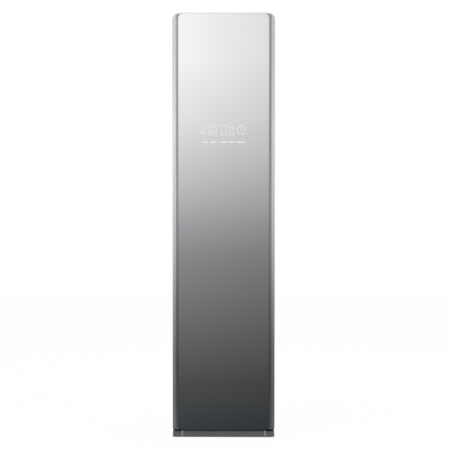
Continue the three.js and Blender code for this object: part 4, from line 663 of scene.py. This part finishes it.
def zinc_finish(tint):
    """Galvanised sheet: flat crystals of many sizes, each with its own tone and gloss."""
    finish = Finish("zinc_sheet")
    crystals = finish.wire(finish.add("TexVoronoi"), Vector=finish.place, Scale=70.0).outputs["Color"]
    grey = finish.joined(finish.add("RGBToBW"), crystals)
    finish.set(Base_Color=finish.shaded(grey, tint, 0.9, 1.1, 0.2, 0.8), Metallic=0.7)
    finish.uneven(grey, 0.34, 0.52)
    finish.relief(finish.noise(900.0), 0.05, 0.05 * MM)


def cloth_finish(tint):
    """Woven cover: two sets of fine threads crossing on the piece's own map, with a soft sheen."""
    finish = Finish("woven_cover")
    place = finish.add("UVMap", uv_map="weave").outputs["UV"]
    threads = []
    for along in ("X", "Y"):
        wave = finish.add("TexWave", wave_type="BANDS", bands_direction=along)
        finish.wire(wave, Vector=place, Scale=230.0, Distortion=0.6, Detail=1.0)
        threads.append(wave.outputs["Fac"])
    weave = finish.times(*threads)
    finish.set(Base_Color=finish.shaded(weave, tint, 0.78, 1.05, 0.1, 0.8), Roughness=0.9, Sheen_Weight=0.25)
    finish.relief(weave, 0.5, 0.25 * MM)


def make_finishes():
    """Every finish of the cabinet, from the settings.

    After the tint come the roughness and how far it varies, the grain's scale and depth, the share of metal,
    and how far the colour wanders.
    """
    shell, chamber = settings().shell, settings().chamber
    glass_finishes()
    trim_finishes()
    grained("panel_paint", shell.paint, 0.42, 0.06, 1600.0, 0.1, 0.3, 0.03)
    grained("base_cover", shell.cover, 0.5, 0.06, 1200.0, 0.15, 0.0, 0.04)
    grained("joint_strip", srgb(122, 124, 125), 0.35, 0.05, 900.0, 0.06, 0.6, 0.03)
    grained("black_gap", srgb(30, 31, 32), 0.7, 0.08, 900.0, 0.2)
    # The lip's grey is painted shade of the gap, and its lean painted light from the left
    grained("lip_rubber", srgb(68, 70, 71), 0.7, 0.08, 900.0, 0.2, lean=0.4)
    zinc_finish(shell.zinc)
    brushed("drawn_steel", srgb(168, 170, 172), 0.34, "Z")
    brushed("turned_steel", srgb(176, 178, 180), 0.3, "X")
    brushed("fin_foil", srgb(198, 201, 203), 0.3, "Z")
    brushed("copper_tube", srgb(196, 122, 84), 0.3, "X")
    grained("lining", chamber.liner, 0.46, 0.08, 1400.0, 0.18, 0.0, 0.025)
    grained("dark_plastic", chamber.dark, 0.5, 0.1, 1300.0, 0.25)
    grained("grey_plastic_grain", chamber.grey, 0.5, 0.08, 1200.0, 0.22)
    grained("seal_rubber_matt", chamber.seal, 0.78, 0.08, 700.0, 0.2, 0.0, 0.12)
    # Black enamel, the compressor's own colour and painted shade on the lower hinge bracket
    grained("black_enamel", srgb(34, 36, 38), 0.32, 0.08, 500.0, 0.12, 0.0, 0.1)
    grained("foot_rubber", srgb(42, 43, 44), 0.82, 0.06, 900.0, 0.3, 0.0, 0.12)
    cloth_finish(chamber.pad)
    tank = grained("clear_tank", chamber.tank, 0.2, 0.05, 300.0, 0.05, 0.0, 0.04)
    tank.set(Transmission_Weight=0.45, IOR=1.5)
    lens = grained("frosted_lens", srgb(244, 246, 248), 0.35, 0.05, 1500.0, 0.3, 0.0, 0.02)
    lens.set(Transmission_Weight=0.3, Emission_Color=(1, 1, 1, 1), Emission_Strength=0.25)
    ink = grained("sign_ink", settings().signs.ink, 0.55, 0.05, 2500.0, 0.2, 0.0, 0.02)
    ink.set(Specular_IOR_Level=0.3)


# Pieces


class CABINET_OT_finishes(Operator):
    """Make every finish of the cabinet from the settings"""

    bl_idname = "steam_cabinet.finishes"
    bl_label = "Finishes"

    def execute(self, context):
        make_finishes()
        return {"FINISHED"}


class CABINET_OT_door_glass(Operator):
    """Mirror glass with its polished edge, and the satin trims and caps round it"""

    bl_idname = "steam_cabinet.door_glass"
    bl_label = "Door Glass and Trims"

    def execute(self, context):
        s = settings().glass
        low, high = DOOR
        front, back, bevel = low[1], high[1], s.arris / 2
        rim = [(bevel, back), (0, back - bevel), (0, front + bevel), (bevel, front)]
        edge = ring_sweep(rim, high[0], low[2], high[2], (s.upper_corner, s.lower_corner), 14)
        form = Form().grid(edge, wrap_u=True, paint=1).lid(edge[:, 0]).lid(edge[:, -1])
        form.piece("door_mirror", ["mirror_coating", "polished_arris"], ["mirror_glass"], crease=25)
        dressed("satin_rail", 0.35, SHEET, "left_trim", "right_trim", "door_top_cap", "door_bottom_cap")
        return {"FINISHED"}


# Places on the touch area, in millimetres: middles of the signs, ends of the bars, and the height of each row
SIGN_PLACES = (-81, -45, 2, 36, 76)
SIGN_BARS = ((-95, -69), (-60, -30), (-15, 19), (25, 47), (56, 95))
SIGN_LEVEL = 1342
BAR_LEVEL = 1289
DRAWN_HEIGHT = 40


def arc(x, z, radius, start, end, steps=14):
    """Part of a circle between two angles in degrees."""
    turn = np.radians(np.linspace(start, end, steps))
    return np.stack([x + radius * np.cos(turn), z + radius * np.sin(turn)], -1)


def sign_strokes():
    """Hanger, trousers, shirt, drop and clock, each as strokes of points in millimetres about its own middle.

    The flag beside a stroke says whether it closes. The drop is a circle drawn in by a power of the sine.
    """
    turn = turns(28)
    drop = np.stack([11 * np.sin(turn) * np.sin(turn / 2) ** 1.6, 20 * np.cos(turn) - 1], -1)
    hook = np.concatenate([[[0, 8], [0, 11]], arc(0, 16, 5, -90, 170)])
    hanger = [([[0, 8], [-17, -8], [-15, -12], [15, -12], [17, -8]], True), (hook, False)]
    trousers = [([[-11, 20], [-13, -20], [-4, -20], [0, 6], [4, -20], [13, -20], [11, 20]], True),
                ([[-11, 13], [11, 13]], False)]
    shirt = [([[-6, 19], [-18, 12], [-15, 2], [-10, 5], [-10, -20], [10, -20], [10, 5], [15, 2], [18, 12],
               [6, 19], [3, 14], [-3, 14]], True)]
    clock = [(arc(0, 0, 16, 0, 347, 28), True), ([[0, 9], [0, 0], [7, -5]], False)]
    return [hanger, trousers, shirt, [(drop, True)], clock]


class CABINET_OT_signs(Operator):
    """Signs and selection bars printed on the touch area of the glass"""

    bl_idname = "steam_cabinet.signs"
    bl_label = "Touch Signs"

    def execute(self, context):
        s = settings().signs
        y1 = DOOR[0][1] - 0.02 * MM
        y0 = y1 - s.rise
        form = Form()
        scale = s.size / (DRAWN_HEIGHT * MM)
        for place, strokes in zip(SIGN_PLACES, sign_strokes()):
            for points, closed in strokes:
                path = (np.array(points) * scale + np.array([place, SIGN_LEVEL])) * MM
                grid = ribbon(path, s.stroke, y0, y1, closed)
                if closed:
                    form.grid(grid, wrap_u=True, wrap_v=True)
                else:
                    form.shell(grid)
        bar = 2.2 * s.stroke
        for left, right in SIGN_BARS:
            path = np.array([[left, BAR_LEVEL], [right, BAR_LEVEL]]) * MM
            form.shell(ribbon(path, bar, y0, y1))
        form.piece("touch_signs", ["sign_ink"], body="door", crease=MOULDED, flat=False)
        return {"FINISHED"}


# A point this near the axis closes a lathed profile there
POLE = 1e-5


def screw_heads(form, places, radius):
    """Pan heads: a dome of radius r and height 0.45 r with a cone sunk in its middle, turned about Y."""
    rise = 0.45 * radius
    profile = [(POLE, 0.3 * rise), (0.3 * radius, 0.85 * rise), (0.6 * radius, 0.98 * rise),
               (0.85 * radius, 0.75 * rise), (radius, 0.35 * rise), (radius, -0.1 * rise),
               (POLE, -0.1 * rise)]
    for place in places:
        form.shell(lathe(profile, place, "Y", 14))
    return form


class CABINET_OT_shell(Operator):
    """Side panels, top cover, rear panel, service cover with its screws, cord gland, rail and hinge parts"""

    bl_idname = "steam_cabinet.shell"
    bl_label = "Outer Shell"

    def execute(self, context):
        dressed("panel_paint", 0.5, SHEET, "left_side_panel", "right_side_panel", "top_cover", "top_rail",
                "hinge_cover")
        dressed("zinc_sheet", 0.6, MOULDED, "rear_panel", "rear_service_cover")
        dressed("dark_plastic", 0.6, MOULDED, "cord_gland")
        dressed("drawn_steel", 0.4, SHEET, "upper_hinge_bracket")
        # Painted shade: the lower bracket is black to stand in for the shade under the door's low corner,
        # where the upper one is steel
        dressed("black_enamel", 0.4, SHEET, "lower_hinge_bracket")
        painted("dark_plastic", "upper_hinge_bush", "lower_hinge_bush")
        low, high = box("rear_service_cover")
        face, across, inset = high[1] - 12 * MM, high[0] - 52 * MM, 32 * MM
        ends = (low[2] + inset, high[2] - inset)
        places = [(x, face, z) for x in (-across, across) for z in ends] + [(0, face, z) for z in ends]
        screws = screw_heads(Form(), places, settings().shell.screw / 2)
        screws.piece("service_cover_screws", ["drawn_steel"])
        return {"FINISHED"}


def joint_strips():
    """Two bright strips over the kick strip's joints: a bowed front, a power of the sine across."""
    kick = box("kick_cover")
    half, middle, rise = 5.4 * MM, kick[1][0] + 6 * MM, 0.9 * MM
    bow = np.linspace(0, np.pi, 9)
    section = np.stack([np.cos(bow) * half, kick[0][1] - 0.1 * MM - np.sin(bow) ** 0.5 * rise], -1)
    form = Form()
    for side in (-1, 1):
        form.prism(section + [side * middle, 0], 2, (kick[0][2] + 0.6 * MM, kick[1][2] + 2 * MM))
    form.piece("joint_strips", ["joint_strip"], crease=CURVED)


def sill_lip():
    """Rubber lip in the gap between the kick strip and the door's bottom cap; its grey stands in for the
    gap's shade, and it is lighter to the left by painted light.
    """
    kick, side, setback, edge = box("kick_cover"), 0.5 * MM, 1.5 * MM, 0.3 * MM
    low, high = kick + np.array([[side, setback, 0], [-side, 0, 0]])
    low[2], high[2] = kick[1][2] + 0.1 * MM, box("door_bottom_cap")[0][2] - 0.6 * MM
    rounded(Form().boxes(low, high).piece("sill_lip", ["lip_rubber"]), edge)


def door_buffers():
    """Two dark rubber pads on the side panels' front edges, behind the door's low corners, that stand in for
    the shade there.
    """
    panel = box("right_side_panel")
    face, low, half, tall = panel[0][1], panel[0][2] + MM, 8.6 * MM, 19 * MM
    across = panel[1][0] + 0.35 * MM - half
    form = Form()
    for side in (-1, 1):
        pad = outline(half, low, low + tall, MM, 3) + [side * across, 0]
        form.prism(pad, 1, (face - 5.5 * MM, face - 0.1 * MM))
    form.piece("door_buffers", ["seal_rubber_matt"], crease=CURVED)


class CABINET_OT_base(Operator):
    """Base frame, kick strip with its bright joints, leg covers, feet, and dark rubber at the door's foot
    that stands in for the shade there
    """

    bl_idname = "steam_cabinet.base"
    bl_label = "Base and Feet"

    def execute(self, context):
        dressed("zinc_sheet", 0.4, SHEET, "base_frame")
        dressed("base_cover", 0.4, MOULDED, "kick_cover", "left_leg_cover", "right_leg_cover")
        dressed("foot_rubber", 0.4, MOULDED, "front_left_foot", "front_right_foot", "rear_left_foot",
                "rear_right_foot")
        joint_strips()
        sill_lip()
        door_buffers()
        return {"FINISHED"}


def lens_ribs():
    """Ribs across the lamp lens: half ellipses under its face, side by side."""
    low, high = box("lamp_lens")
    half, drop, count = 1.8 * MM, 0.9 * MM, 23
    turn = np.linspace(0, np.pi, 6)
    section = np.stack([np.cos(turn) * half, low[2] + 0.3 * MM - np.sin(turn) * drop], -1)
    form = Form()
    for x in np.linspace(low[0] + 9 * MM, high[0] - 9 * MM, count):
        form.prism(section + [x, 0], 1, (low[1] + 8 * MM, high[1] - 8 * MM))
    form.piece("lens_ribs", ["frosted_lens"], crease=CURVED)


def nozzle_holes():
    """Ring of small dark discs on top of the steam nozzle, painted shade where its holes are."""
    low, high = box("steam_nozzle")
    middle = (low + high) / 2
    ring, radius, deep, count = 12 * MM, 1.3 * MM, 1.1 * MM, 8
    form = Form()
    for turn in turns(count):
        place = (middle[0] + ring * math.cos(turn), middle[1] + ring * math.sin(turn), high[2] - 0.9 * MM)
        form.shell(lathe([(POLE, deep), (radius, deep), (radius, 0), (POLE, 0)], place, "Z", 10))
    form.piece("nozzle_holes", ["black_gap"])


class CABINET_OT_chamber(Operator):
    """Moulded walls, floor and ceiling of the chamber, lamp lens, nozzle, grille and shelf"""

    bl_idname = "steam_cabinet.chamber"
    bl_label = "Chamber"

    def execute(self, context):
        dressed("lining", 0.7, MOULDED, "left_liner", "right_liner", "back_liner", "chamber_ceiling",
                "chamber_floor")
        dressed("lining", 0.4, MOULDED, "outlet_grille", "shelf")
        dressed("lining", 0.5, MOULDED, "steam_nozzle")
        dressed("frosted_lens", 0.5, SHEET, "lamp_lens")
        lens_ribs()
        nozzle_holes()
        return {"FINISHED"}


class CABINET_OT_door_inside(Operator):
    """Door core, lining, touch module and the magnetic seal"""

    bl_idname = "steam_cabinet.door_inside"
    bl_label = "Door Inside"

    def execute(self, context):
        dressed("lining", 0.6, MOULDED, "door_liner")
        dressed("grey_plastic_grain", 0.3, SHEET, "door_core")
        painted("dark_plastic", "touch_module")
        low, high = box("door_gasket")
        front, back = low[1] + 0.05 * MM, high[1] - 0.05 * MM
        deep, wide, corner = back - front, 12 * MM, 16 * MM
        fold_shares = [(0.5, 0), (0.9, 0), (1, 0.12), (0.93, 0.3), (1, 0.46), (0.93, 0.62), (1, 0.8),
                       (0.93, 1), (0.5, 0.97), (0.07, 1), (0, 0.8), (0.07, 0.62), (0, 0.46), (0.07, 0.3),
                       (0, 0.12), (0.1, 0)]
        profile = [(u * wide, front + v * deep) for u, v in fold_shares]
        form = Form().grid(ring_sweep(profile, high[0], low[2], high[2], corner), wrap_u=True, wrap_v=True)
        form.piece("magnetic_seal", ["seal_rubber_matt"], ["door_gasket"], crease=CURVED)
        return {"FINISHED"}


def bezier(a, b, c, t):
    """Point at share t of the curve from a to c that leans towards b."""
    t = t[:, None]
    return (1 - t) ** 2 * np.array(a) + 2 * t * (1 - t) * np.array(b) + t ** 2 * np.array(c)


def shoulder(reach, share_out):
    """Top of a hanger's arm at shares of its reach, as distances out and up from the neck."""
    bend, drop = 16 * MM, 62 * MM
    return bezier((0, 0), (0.36 * reach, -bend), (reach, -drop), share_out)


def squared(value):
    """A sine or cosine pushed outwards by a power, which squares a circle a little."""
    return np.sign(value) * np.abs(value) ** 0.6


def hanger_arms(x, y, neck, reach):
    """Two sloping arms: between an upper and a lower curve, a rounded section that closes at both tips."""
    root, bend, drop, inset, half_wide, steps = 25.6 * MM, 47 * MM, 92 * MM, 10 * MM, 6.4 * MM, 34
    s = np.concatenate([-np.linspace(1, 0, steps)[:-1], np.linspace(0, 1, steps)])
    share_out, side = np.abs(s), np.where(s < 0, -1, 1)
    upper = shoulder(reach, share_out)
    lower = bezier((0, -root), (0.3 * reach, -bend), (reach - inset, -drop), share_out)
    middle, half = (upper + lower) / 2, (upper - lower) / 2
    close = np.sqrt(1 - share_out ** 24)[:, None]
    turn = turns(24)
    flat = middle[:, None] + (half * close)[:, None] * squared(np.cos(turn))[None, :, None]
    wide = half_wide * close * squared(np.sin(turn))
    return np.stack([x + wide, y + side[:, None] * flat[..., 0], neck + flat[..., 1]], -1)


def hanger_hook(x, y, neck, level):
    """Bent wire: an arch over the bar at the level, thin at its tip, then a stem down into the neck."""
    ring, wire, middle, steps = 10.6 * MM, 2.15 * MM, level - 1.6 * MM, 10
    turn = np.pi * np.linspace(-0.15, 0.95, steps)
    arch = np.stack([np.full(steps, x), y - ring * np.cos(turn), middle + ring * np.sin(turn)], -1)
    stem = [[x, y + 0.85 * ring, middle - ring], [x, y + 0.1 * ring, middle - 1.9 * ring],
            [x, y, neck + 2 * MM], [x, y, neck - 6 * MM]]
    path = smooth_path(np.concatenate([arch, stem]), 6)
    tip = np.array([0.2, 1.5, 2.0]) * MM
    radius = np.concatenate([tip, np.full(len(path) - len(tip), wire)])
    return tube(path, radius, (1, 0, 0), 14)


def shaped_hanger(node, level):
    """Shoulder hanger: its arms and collar, rubber ribs across the shoulders, and a steel hook."""
    low, high = box(node)
    x, y, reach = (low[0] + high[0]) / 2, (low[1] + high[1]) / 2, (high[1] - low[1]) / 2
    neck = low[2] + 92 * MM
    form = Form().grid(hanger_arms(x, y, neck, reach - 0.2 * MM), wrap_v=True)
    collar = [(POLE, 0), (7 * MM, 0), (6 * MM, 7 * MM), (4 * MM, 9 * MM), (POLE, 9 * MM)]
    form.shell(lathe(collar, (x, y, neck - 3 * MM), "Z", 20))
    half, sunk, radius = 4.5 * MM, 0.3 * MM, 1.1 * MM
    spots = shoulder(reach, np.linspace(0.55, 0.9, 8))
    for side in (-1, 1):
        for out, drop in spots:
            path = np.array([[x + end, y + side * out, neck + drop - sunk] for end in (-half, half)])
            form.shell(tube(path, radius, (0, 1, 0), 8), 1)
    form.shell(hanger_hook(x, y, neck, level), 2)
    form.piece(node + "_shaped", ["dark_plastic", "seal_rubber_matt", "turned_steel"], [node], crease=CURVED)


class CABINET_OT_hangers(Operator):
    """Sliding hanger bar, its drive, and two shoulder hangers with steel hooks"""

    bl_idname = "steam_cabinet.hangers"
    bl_label = "Hanger Bar and Hangers"

    def execute(self, context):
        dressed("turned_steel", 0.5, MOULDED, "hanger_bar")
        dressed("grey_plastic_grain", 0.6, MOULDED, "drive_housing")
        dressed("drawn_steel", 0.6, MOULDED, "drive_motor")
        level = box("hanger_bar")[0][2] + 8 * MM
        for node in ("hanger_left", "hanger_right"):
            shaped_hanger(node, level)
        return {"FINISHED"}


def quilted_pad():
    """Heat pad: a rounded rectangle whose front swells between the seams of a diamond grid.

    The swelling is the smaller of two crossing sines, to a power, and falls off towards the pad's rim.
    """
    low, high = box("press_pad")
    deep = high[1] - low[1]
    half, middle = (high - low) / 2, (high + low) / 2
    corner, pitch = 15 * MM, 52 * MM
    u = np.sin(np.linspace(-np.pi / 2, np.pi / 2, 72))
    v = np.sin(np.linspace(-np.pi / 2, np.pi / 2, 190))
    past = np.clip(corner - (half[2] - np.abs(v) * half[2]), 0, corner)
    wide = half[0] - corner + np.sqrt(np.maximum(corner ** 2 - past ** 2, 0))
    x = middle[0] + u[None] * wide[:, None]
    z = np.broadcast_to((middle[2] + v * half[2])[:, None], x.shape)
    crown = (1 - np.abs(u[None]) ** 16) ** 0.35 * (1 - np.abs(v[:, None]) ** 40) ** 0.35
    a, b = np.pi * (x + z) / pitch, np.pi * (x - z) / pitch
    quilt = np.minimum(np.abs(np.sin(a)), np.abs(np.sin(b))) ** 0.45
    front = high[1] - 0.95 * deep * np.clip(crown * (0.45 + 0.55 * quilt), 0, 1)
    back = np.broadcast_to(high[1], x.shape)
    form = Form().grid(np.stack([x, front, z], -1)).grid(np.stack([x, back, z], -1))
    return form.piece("quilted_pad", ["woven_cover"], ["press_pad"], crease=80, flat=False)


class CABINET_OT_trouser_press(Operator):
    """Trouser press: ribbed panel, spring clip, and the quilted heat pad"""

    bl_idname = "steam_cabinet.trouser_press"
    bl_label = "Trouser Press"

    def execute(self, context):
        dressed("lining", 0.6, MOULDED, "press_panel")
        dressed("grey_plastic_grain", 0.5, MOULDED, "clip_jaw")
        pad = quilted_pad()
        points, corners = mesh_arrays(pad.data)
        weave = pad.data.uv_layers.new(name="weave")
        weave.data.foreach_set("uv", points[corners][:, [0, 2]].ravel())
        return {"FINISHED"}


class CABINET_OT_tanks(Operator):
    """Tank bay and the two water tanks with their level marks"""

    bl_idname = "steam_cabinet.tanks"
    bl_label = "Water Tanks"

    def execute(self, context):
        dressed("grey_plastic_grain", 0.5, SHEET, "tank_bay")
        first, last, pitch, short, long, stroke = 45, 190, 24, 9, 16, 1.8 * MM
        for node in ("supply_tank", "drain_tank"):
            dressed("clear_tank", 0.7, MOULDED, node)
            low, high = box(node)
            x = (low[0] + high[0]) / 2
            levels = low[2] + np.arange(first, last, pitch) * MM
            half = np.where(np.arange(len(levels)) % 2, short, long) * MM
            form = Form()
            for z, w in zip(levels, half):
                form.shell(ribbon([[x - w, z], [x + w, z]], stroke, low[1] - 0.4 * MM, low[1] + 0.6 * MM))
            form.piece(node + "_marks", ["grey_plastic_grain"], body=body_of(node))
        return {"FINISHED"}


class CABINET_OT_lint_filter(Operator):
    """Lint filter basket with fine mesh in its windows"""

    bl_idname = "steam_cabinet.lint_filter"
    bl_label = "Lint Filter"

    def execute(self, context):
        dressed("grey_plastic_grain", 0.4, SHEET, "lint_filter")
        low, high = box("lint_filter")
        y, half, window = (low[1] + high[1]) / 2, 76.5 * MM, 18.7 * MM
        bottom, top, thin, pitch = low[2] + 4 * MM, low[2] + 48 * MM, 0.18 * MM, 2.4 * MM
        form = Form()
        for side in (-1, 1):
            plane = y + side * window
            x = np.arange(-half, half, pitch)
            one = np.ones_like(x)
            form.boxes(np.stack([x - thin, one * (plane - thin), one * bottom], -1),
                       np.stack([x + thin, one * (plane + thin), one * top], -1))
            z = np.arange(bottom + MM, top, pitch)
            one = np.ones_like(z)
            behind = plane + 2.2 * thin
            form.boxes(np.stack([-half * one, one * (behind - thin), z - thin], -1),
                       np.stack([half * one, one * (behind + thin), z + thin], -1))
        form.piece("lint_mesh", ["drawn_steel"], body="lint_filter", merge=1e-8, flat=False)
        return {"FINISHED"}


def coil_fins(form, low, high, bottom):
    """Thin fins across the coil, each a plate whose face waves as a sine of its depth."""
    count, thin, wave_height, wave_length = 68, 0.15 * MM, 0.45 * MM, 9 * MM
    y = np.linspace(low[1] + 0.5 * MM, high[1] - 0.5 * MM, 13)
    wave = wave_height * np.sin(2 * np.pi * (y - low[1]) / wave_length)
    ring = np.concatenate([np.stack([wave - thin, y], -1), np.stack([wave + thin, y], -1)[::-1]])
    for x in np.linspace(low[0] + 6 * MM, high[0] - 6 * MM, count):
        form.prism(ring + [x, 0], 2, (bottom, high[2] - 0.5 * MM))


def serpentine(half, y, first, pitch, runs):
    """Tube route: straight runs from side to side, each joined to the next by half a circle."""
    turn = np.linspace(-np.pi / 2, np.pi / 2, 9)
    points = [[-half, y, first]]
    for run in range(runs):
        side = 1 if run % 2 == 0 else -1
        z = first + run * pitch
        points.append([side * half, y, z])
        if run < runs - 1:
            bend = np.stack([side * (half + pitch / 2 * np.cos(turn)), np.full(9, y),
                             z + pitch / 2 + pitch / 2 * np.sin(turn)], -1)
            points += bend[1:].tolist()
    return np.array(points)


def heat_exchanger(node):
    """End plates, waved fins and a bent copper tube through them."""
    low, high = box(node)
    bottom, plate, pitch, radius, runs = low[2] + 84 * MM, 3 * MM, 24 * MM, 4 * MM, 8
    form = Form()
    plates = np.array([[low[0], low[1], low[2]], [high[0] - plate, low[1], low[2]]])
    form.boxes(plates, plates + np.array([plate, high[1] - low[1], high[2] - low[2]]))
    coil_fins(form, low, high, bottom)
    route = serpentine(high[0] + 1.5 * MM, (low[1] + high[1]) / 2, bottom + 12 * MM, pitch, runs)
    form.shell(tube(route, radius, (0, 1, 0), 12), 1)
    form.piece(node + "_finned", ["fin_foil", "copper_tube"], [node], crease=CURVED)


def compressor_seam():
    """Welded bead round the compressor's shell, a circle turned about its upright axis."""
    low, high = box("compressor")
    radius, level, bead_radius, turn = 50 * MM, low[2] + 88 * MM, 1.4 * MM, turns(10)
    section = np.stack([radius + bead_radius * np.cos(turn), bead_radius * np.sin(turn)], -1)
    bead = lathe(section, (low[0] + radius, (low[1] + high[1]) / 2, level), "Z", 48)
    Form().grid(bead, wrap_u=True, wrap_v=True).piece("compressor_seam", ["black_enamel"])


class CABINET_OT_machine_room(Operator):
    """Heat exchangers, blower, compressor, steam generator, pump and control box"""

    bl_idname = "steam_cabinet.machine_room"
    bl_label = "Machine Room"

    def execute(self, context):
        heat_exchanger("evaporator")
        heat_exchanger("condenser")
        dressed("grey_plastic_grain", 0.5, MOULDED, "blower_housing", "control_box")
        dressed("drawn_steel", 0.8, MOULDED, "blower_motor")
        dressed("dark_plastic", 0, MOULDED, "fan_wheel")
        dressed("black_enamel", 1.2, MOULDED, "compressor")
        dressed("fin_foil", 0.8, MOULDED, "steam_generator")
        dressed("dark_plastic", 0.6, MOULDED, "feed_pump")
        compressor_seam()
        return {"FINISHED"}


def open_floor(finish):
    """Nought under the cabinet, one beside it, and before and behind it a shadow, longer on the right."""
    half, front, back = box("right_leg_cover")[1][0], box("kick_cover")[0][1], box("base_frame")[1][1]
    across = finish.axis("X")
    beside = finish.span(finish.maths("ABSOLUTE", across), half, half + 4 * MM, 0.0, 1.0)
    depth = finish.maths("ABSOLUTE", finish.maths("SUBTRACT", finish.axis("Y"), (front + back) / 2))
    before = finish.maths("SUBTRACT", depth, (back - front) / 2)
    reach = finish.span(across, -half, half, 3 * MM, 40 * MM)
    beyond = finish.span(finish.maths("DIVIDE", before, reach), 0.0, 1.0, 0.0, 1.0)
    return finish.maths("MAXIMUM", beside, beyond)


def seen_directly(nodes):
    """One where a ray comes straight from the camera, or from gloss or clear plastic, else nought."""
    ray = nodes.add("LightPath").outputs
    direct = nodes.maths("MAXIMUM", ray["Is Camera Ray"], ray["Is Glossy Ray"])
    return nodes.maths("MAXIMUM", direct, ray["Is Transmission Ray"])


class CABINET_OT_studio(Operator):
    """Pale floor, soft lamps, plain surroundings, and the camera in front, which looks slightly down"""

    bl_idname = "steam_cabinet.studio"
    bl_label = "Studio"

    def execute(self, context):
        s = settings().stage
        scene = context.scene
        scene.view_settings.view_transform = "Standard"
        self.floor(s)
        self.surroundings(scene, s)
        self.lamp("key_lamp", (-2.2, -3.4, 3.3), (0, 0, 0.9), 2.4, s.key)
        self.lamp("fill_lamp", (2.6, -2.8, 2.4), (0, 0, 0.8), 2.2, s.fill)
        self.lamp("rear_lamp", (0.6, 2.8, 3.2), (0, 0, 1.0), 2.2, s.rear)
        camera = placed("camera", bpy.data.cameras.new("camera"))
        back, up = s.distance * math.cos(s.tilt), s.distance * math.sin(s.tilt)
        camera.location = (s.aim_x, DOOR[0][1] - back, s.aim_z + up)
        camera.rotation_euler = (math.pi / 2 - s.tilt, s.roll, 0)
        sensor = 36
        camera.data.sensor_width = sensor
        camera.data.lens = sensor * s.distance / s.width
        camera.data.clip_end = 60
        scene.camera = camera
        return {"FINISHED"}

    def floor(self, s):
        """A square floor that glows white where it is seen directly and no shadow lies on it."""
        half = 8.0
        form = Form().grid(np.array([[[x, y, 0] for y in (-half, half)] for x in (-half, half)]))
        finish = Finish("studio_floor")
        finish.set(Base_Color=finish.varied(s.floor, 2.0, 0.01), Roughness=0.8)
        glow = finish.wire(finish.add("Emission"), Color=(1, 1, 1, 1), Strength=1.0)
        seen = finish.times(seen_directly(finish), finish.times(open_floor(finish), 0.97))
        surface = finish.blend(seen, finish.shader.outputs["BSDF"], glow.outputs[0])
        finish.join(surface, finish.out.inputs["Surface"])
        mesh = form.mesh("floor")
        mesh.materials.append(finish.material)
        floor = placed("floor", mesh)

    def surroundings(self, scene, s):
        """White all round, full where it is seen directly and weaker on matt surfaces."""
        scene.world = bpy.data.worlds.new("plain surroundings")
        scene.world.use_nodes = True
        nodes = Nodes(scene.world.node_tree)
        shades = [nodes.wire(nodes.add("Background"), Color=(1, 1, 1, 1), Strength=strength).outputs[0]
                  for strength in (s.sky, 1.0)]
        nodes.join(nodes.blend(seen_directly(nodes), *shades), nodes.add("OutputWorld").inputs["Surface"])

    def lamp(self, name, place, aim, size, watts):
        """A soft square lamp, turned to its aim, that is itself never seen."""
        data = bpy.data.lights.new(name, "AREA")
        data.shape = "SQUARE"
        data.size = size
        data.energy = watts
        lamp = placed(name, data)
        lamp.location = place
        lamp.rotation_euler = (Vector(aim) - Vector(place)).to_track_quat("-Z", "Y").to_euler()
        lamp.visible_camera = False
        lamp.visible_glossy = False


PIECE_OPERATORS = (
    CABINET_OT_studio,
    CABINET_OT_finishes,
    CABINET_OT_door_glass,
    CABINET_OT_signs,
    CABINET_OT_shell,
    CABINET_OT_base,
    CABINET_OT_chamber,
    CABINET_OT_door_inside,
    CABINET_OT_hangers,
    CABINET_OT_trouser_press,
    CABINET_OT_tanks,
    CABINET_OT_lint_filter,
    CABINET_OT_machine_room,
)


class CABINET_PT_panel(Panel):
    """Lists the makers of the pieces and their settings"""

    bl_idname = "CABINET_PT_panel"
    bl_label = "Steam Cabinet"
    bl_space_type = "VIEW_3D"
    bl_region_type = "UI"
    bl_category = "Steam Cabinet"

    def draw(self, context):
        for operator in PIECE_OPERATORS:
            self.layout.operator(operator.bl_idname)
        for group in CabinetSettings.__annotations__:
            part = getattr(context.scene.steam_cabinet, group)
            column = self.layout.box().column()
            column.label(text=group.capitalize())
            for item in part.__annotations__:
                column.prop(part, item)


CLASSES = (GlassSettings, TrimSettings, SignSettings, ShellSettings, ChamberSettings, StageSettings,
           CabinetSettings, *PIECE_OPERATORS, CABINET_PT_panel)


def register():
    for kind in CLASSES:
        bpy.utils.register_class(kind)
    bpy.types.Scene.steam_cabinet = PointerProperty(type=CabinetSettings)


def unregister():
    del bpy.types.Scene.steam_cabinet
    for kind in reversed(CLASSES):
        bpy.utils.unregister_class(kind)


def main():
    """Builds the cabinet and its studio."""
    register()
    for operator in PIECE_OPERATORS:
        group, name = operator.bl_idname.split(".")
        getattr(getattr(bpy.ops, group), name)()


if __name__ == "__main__":
    main()
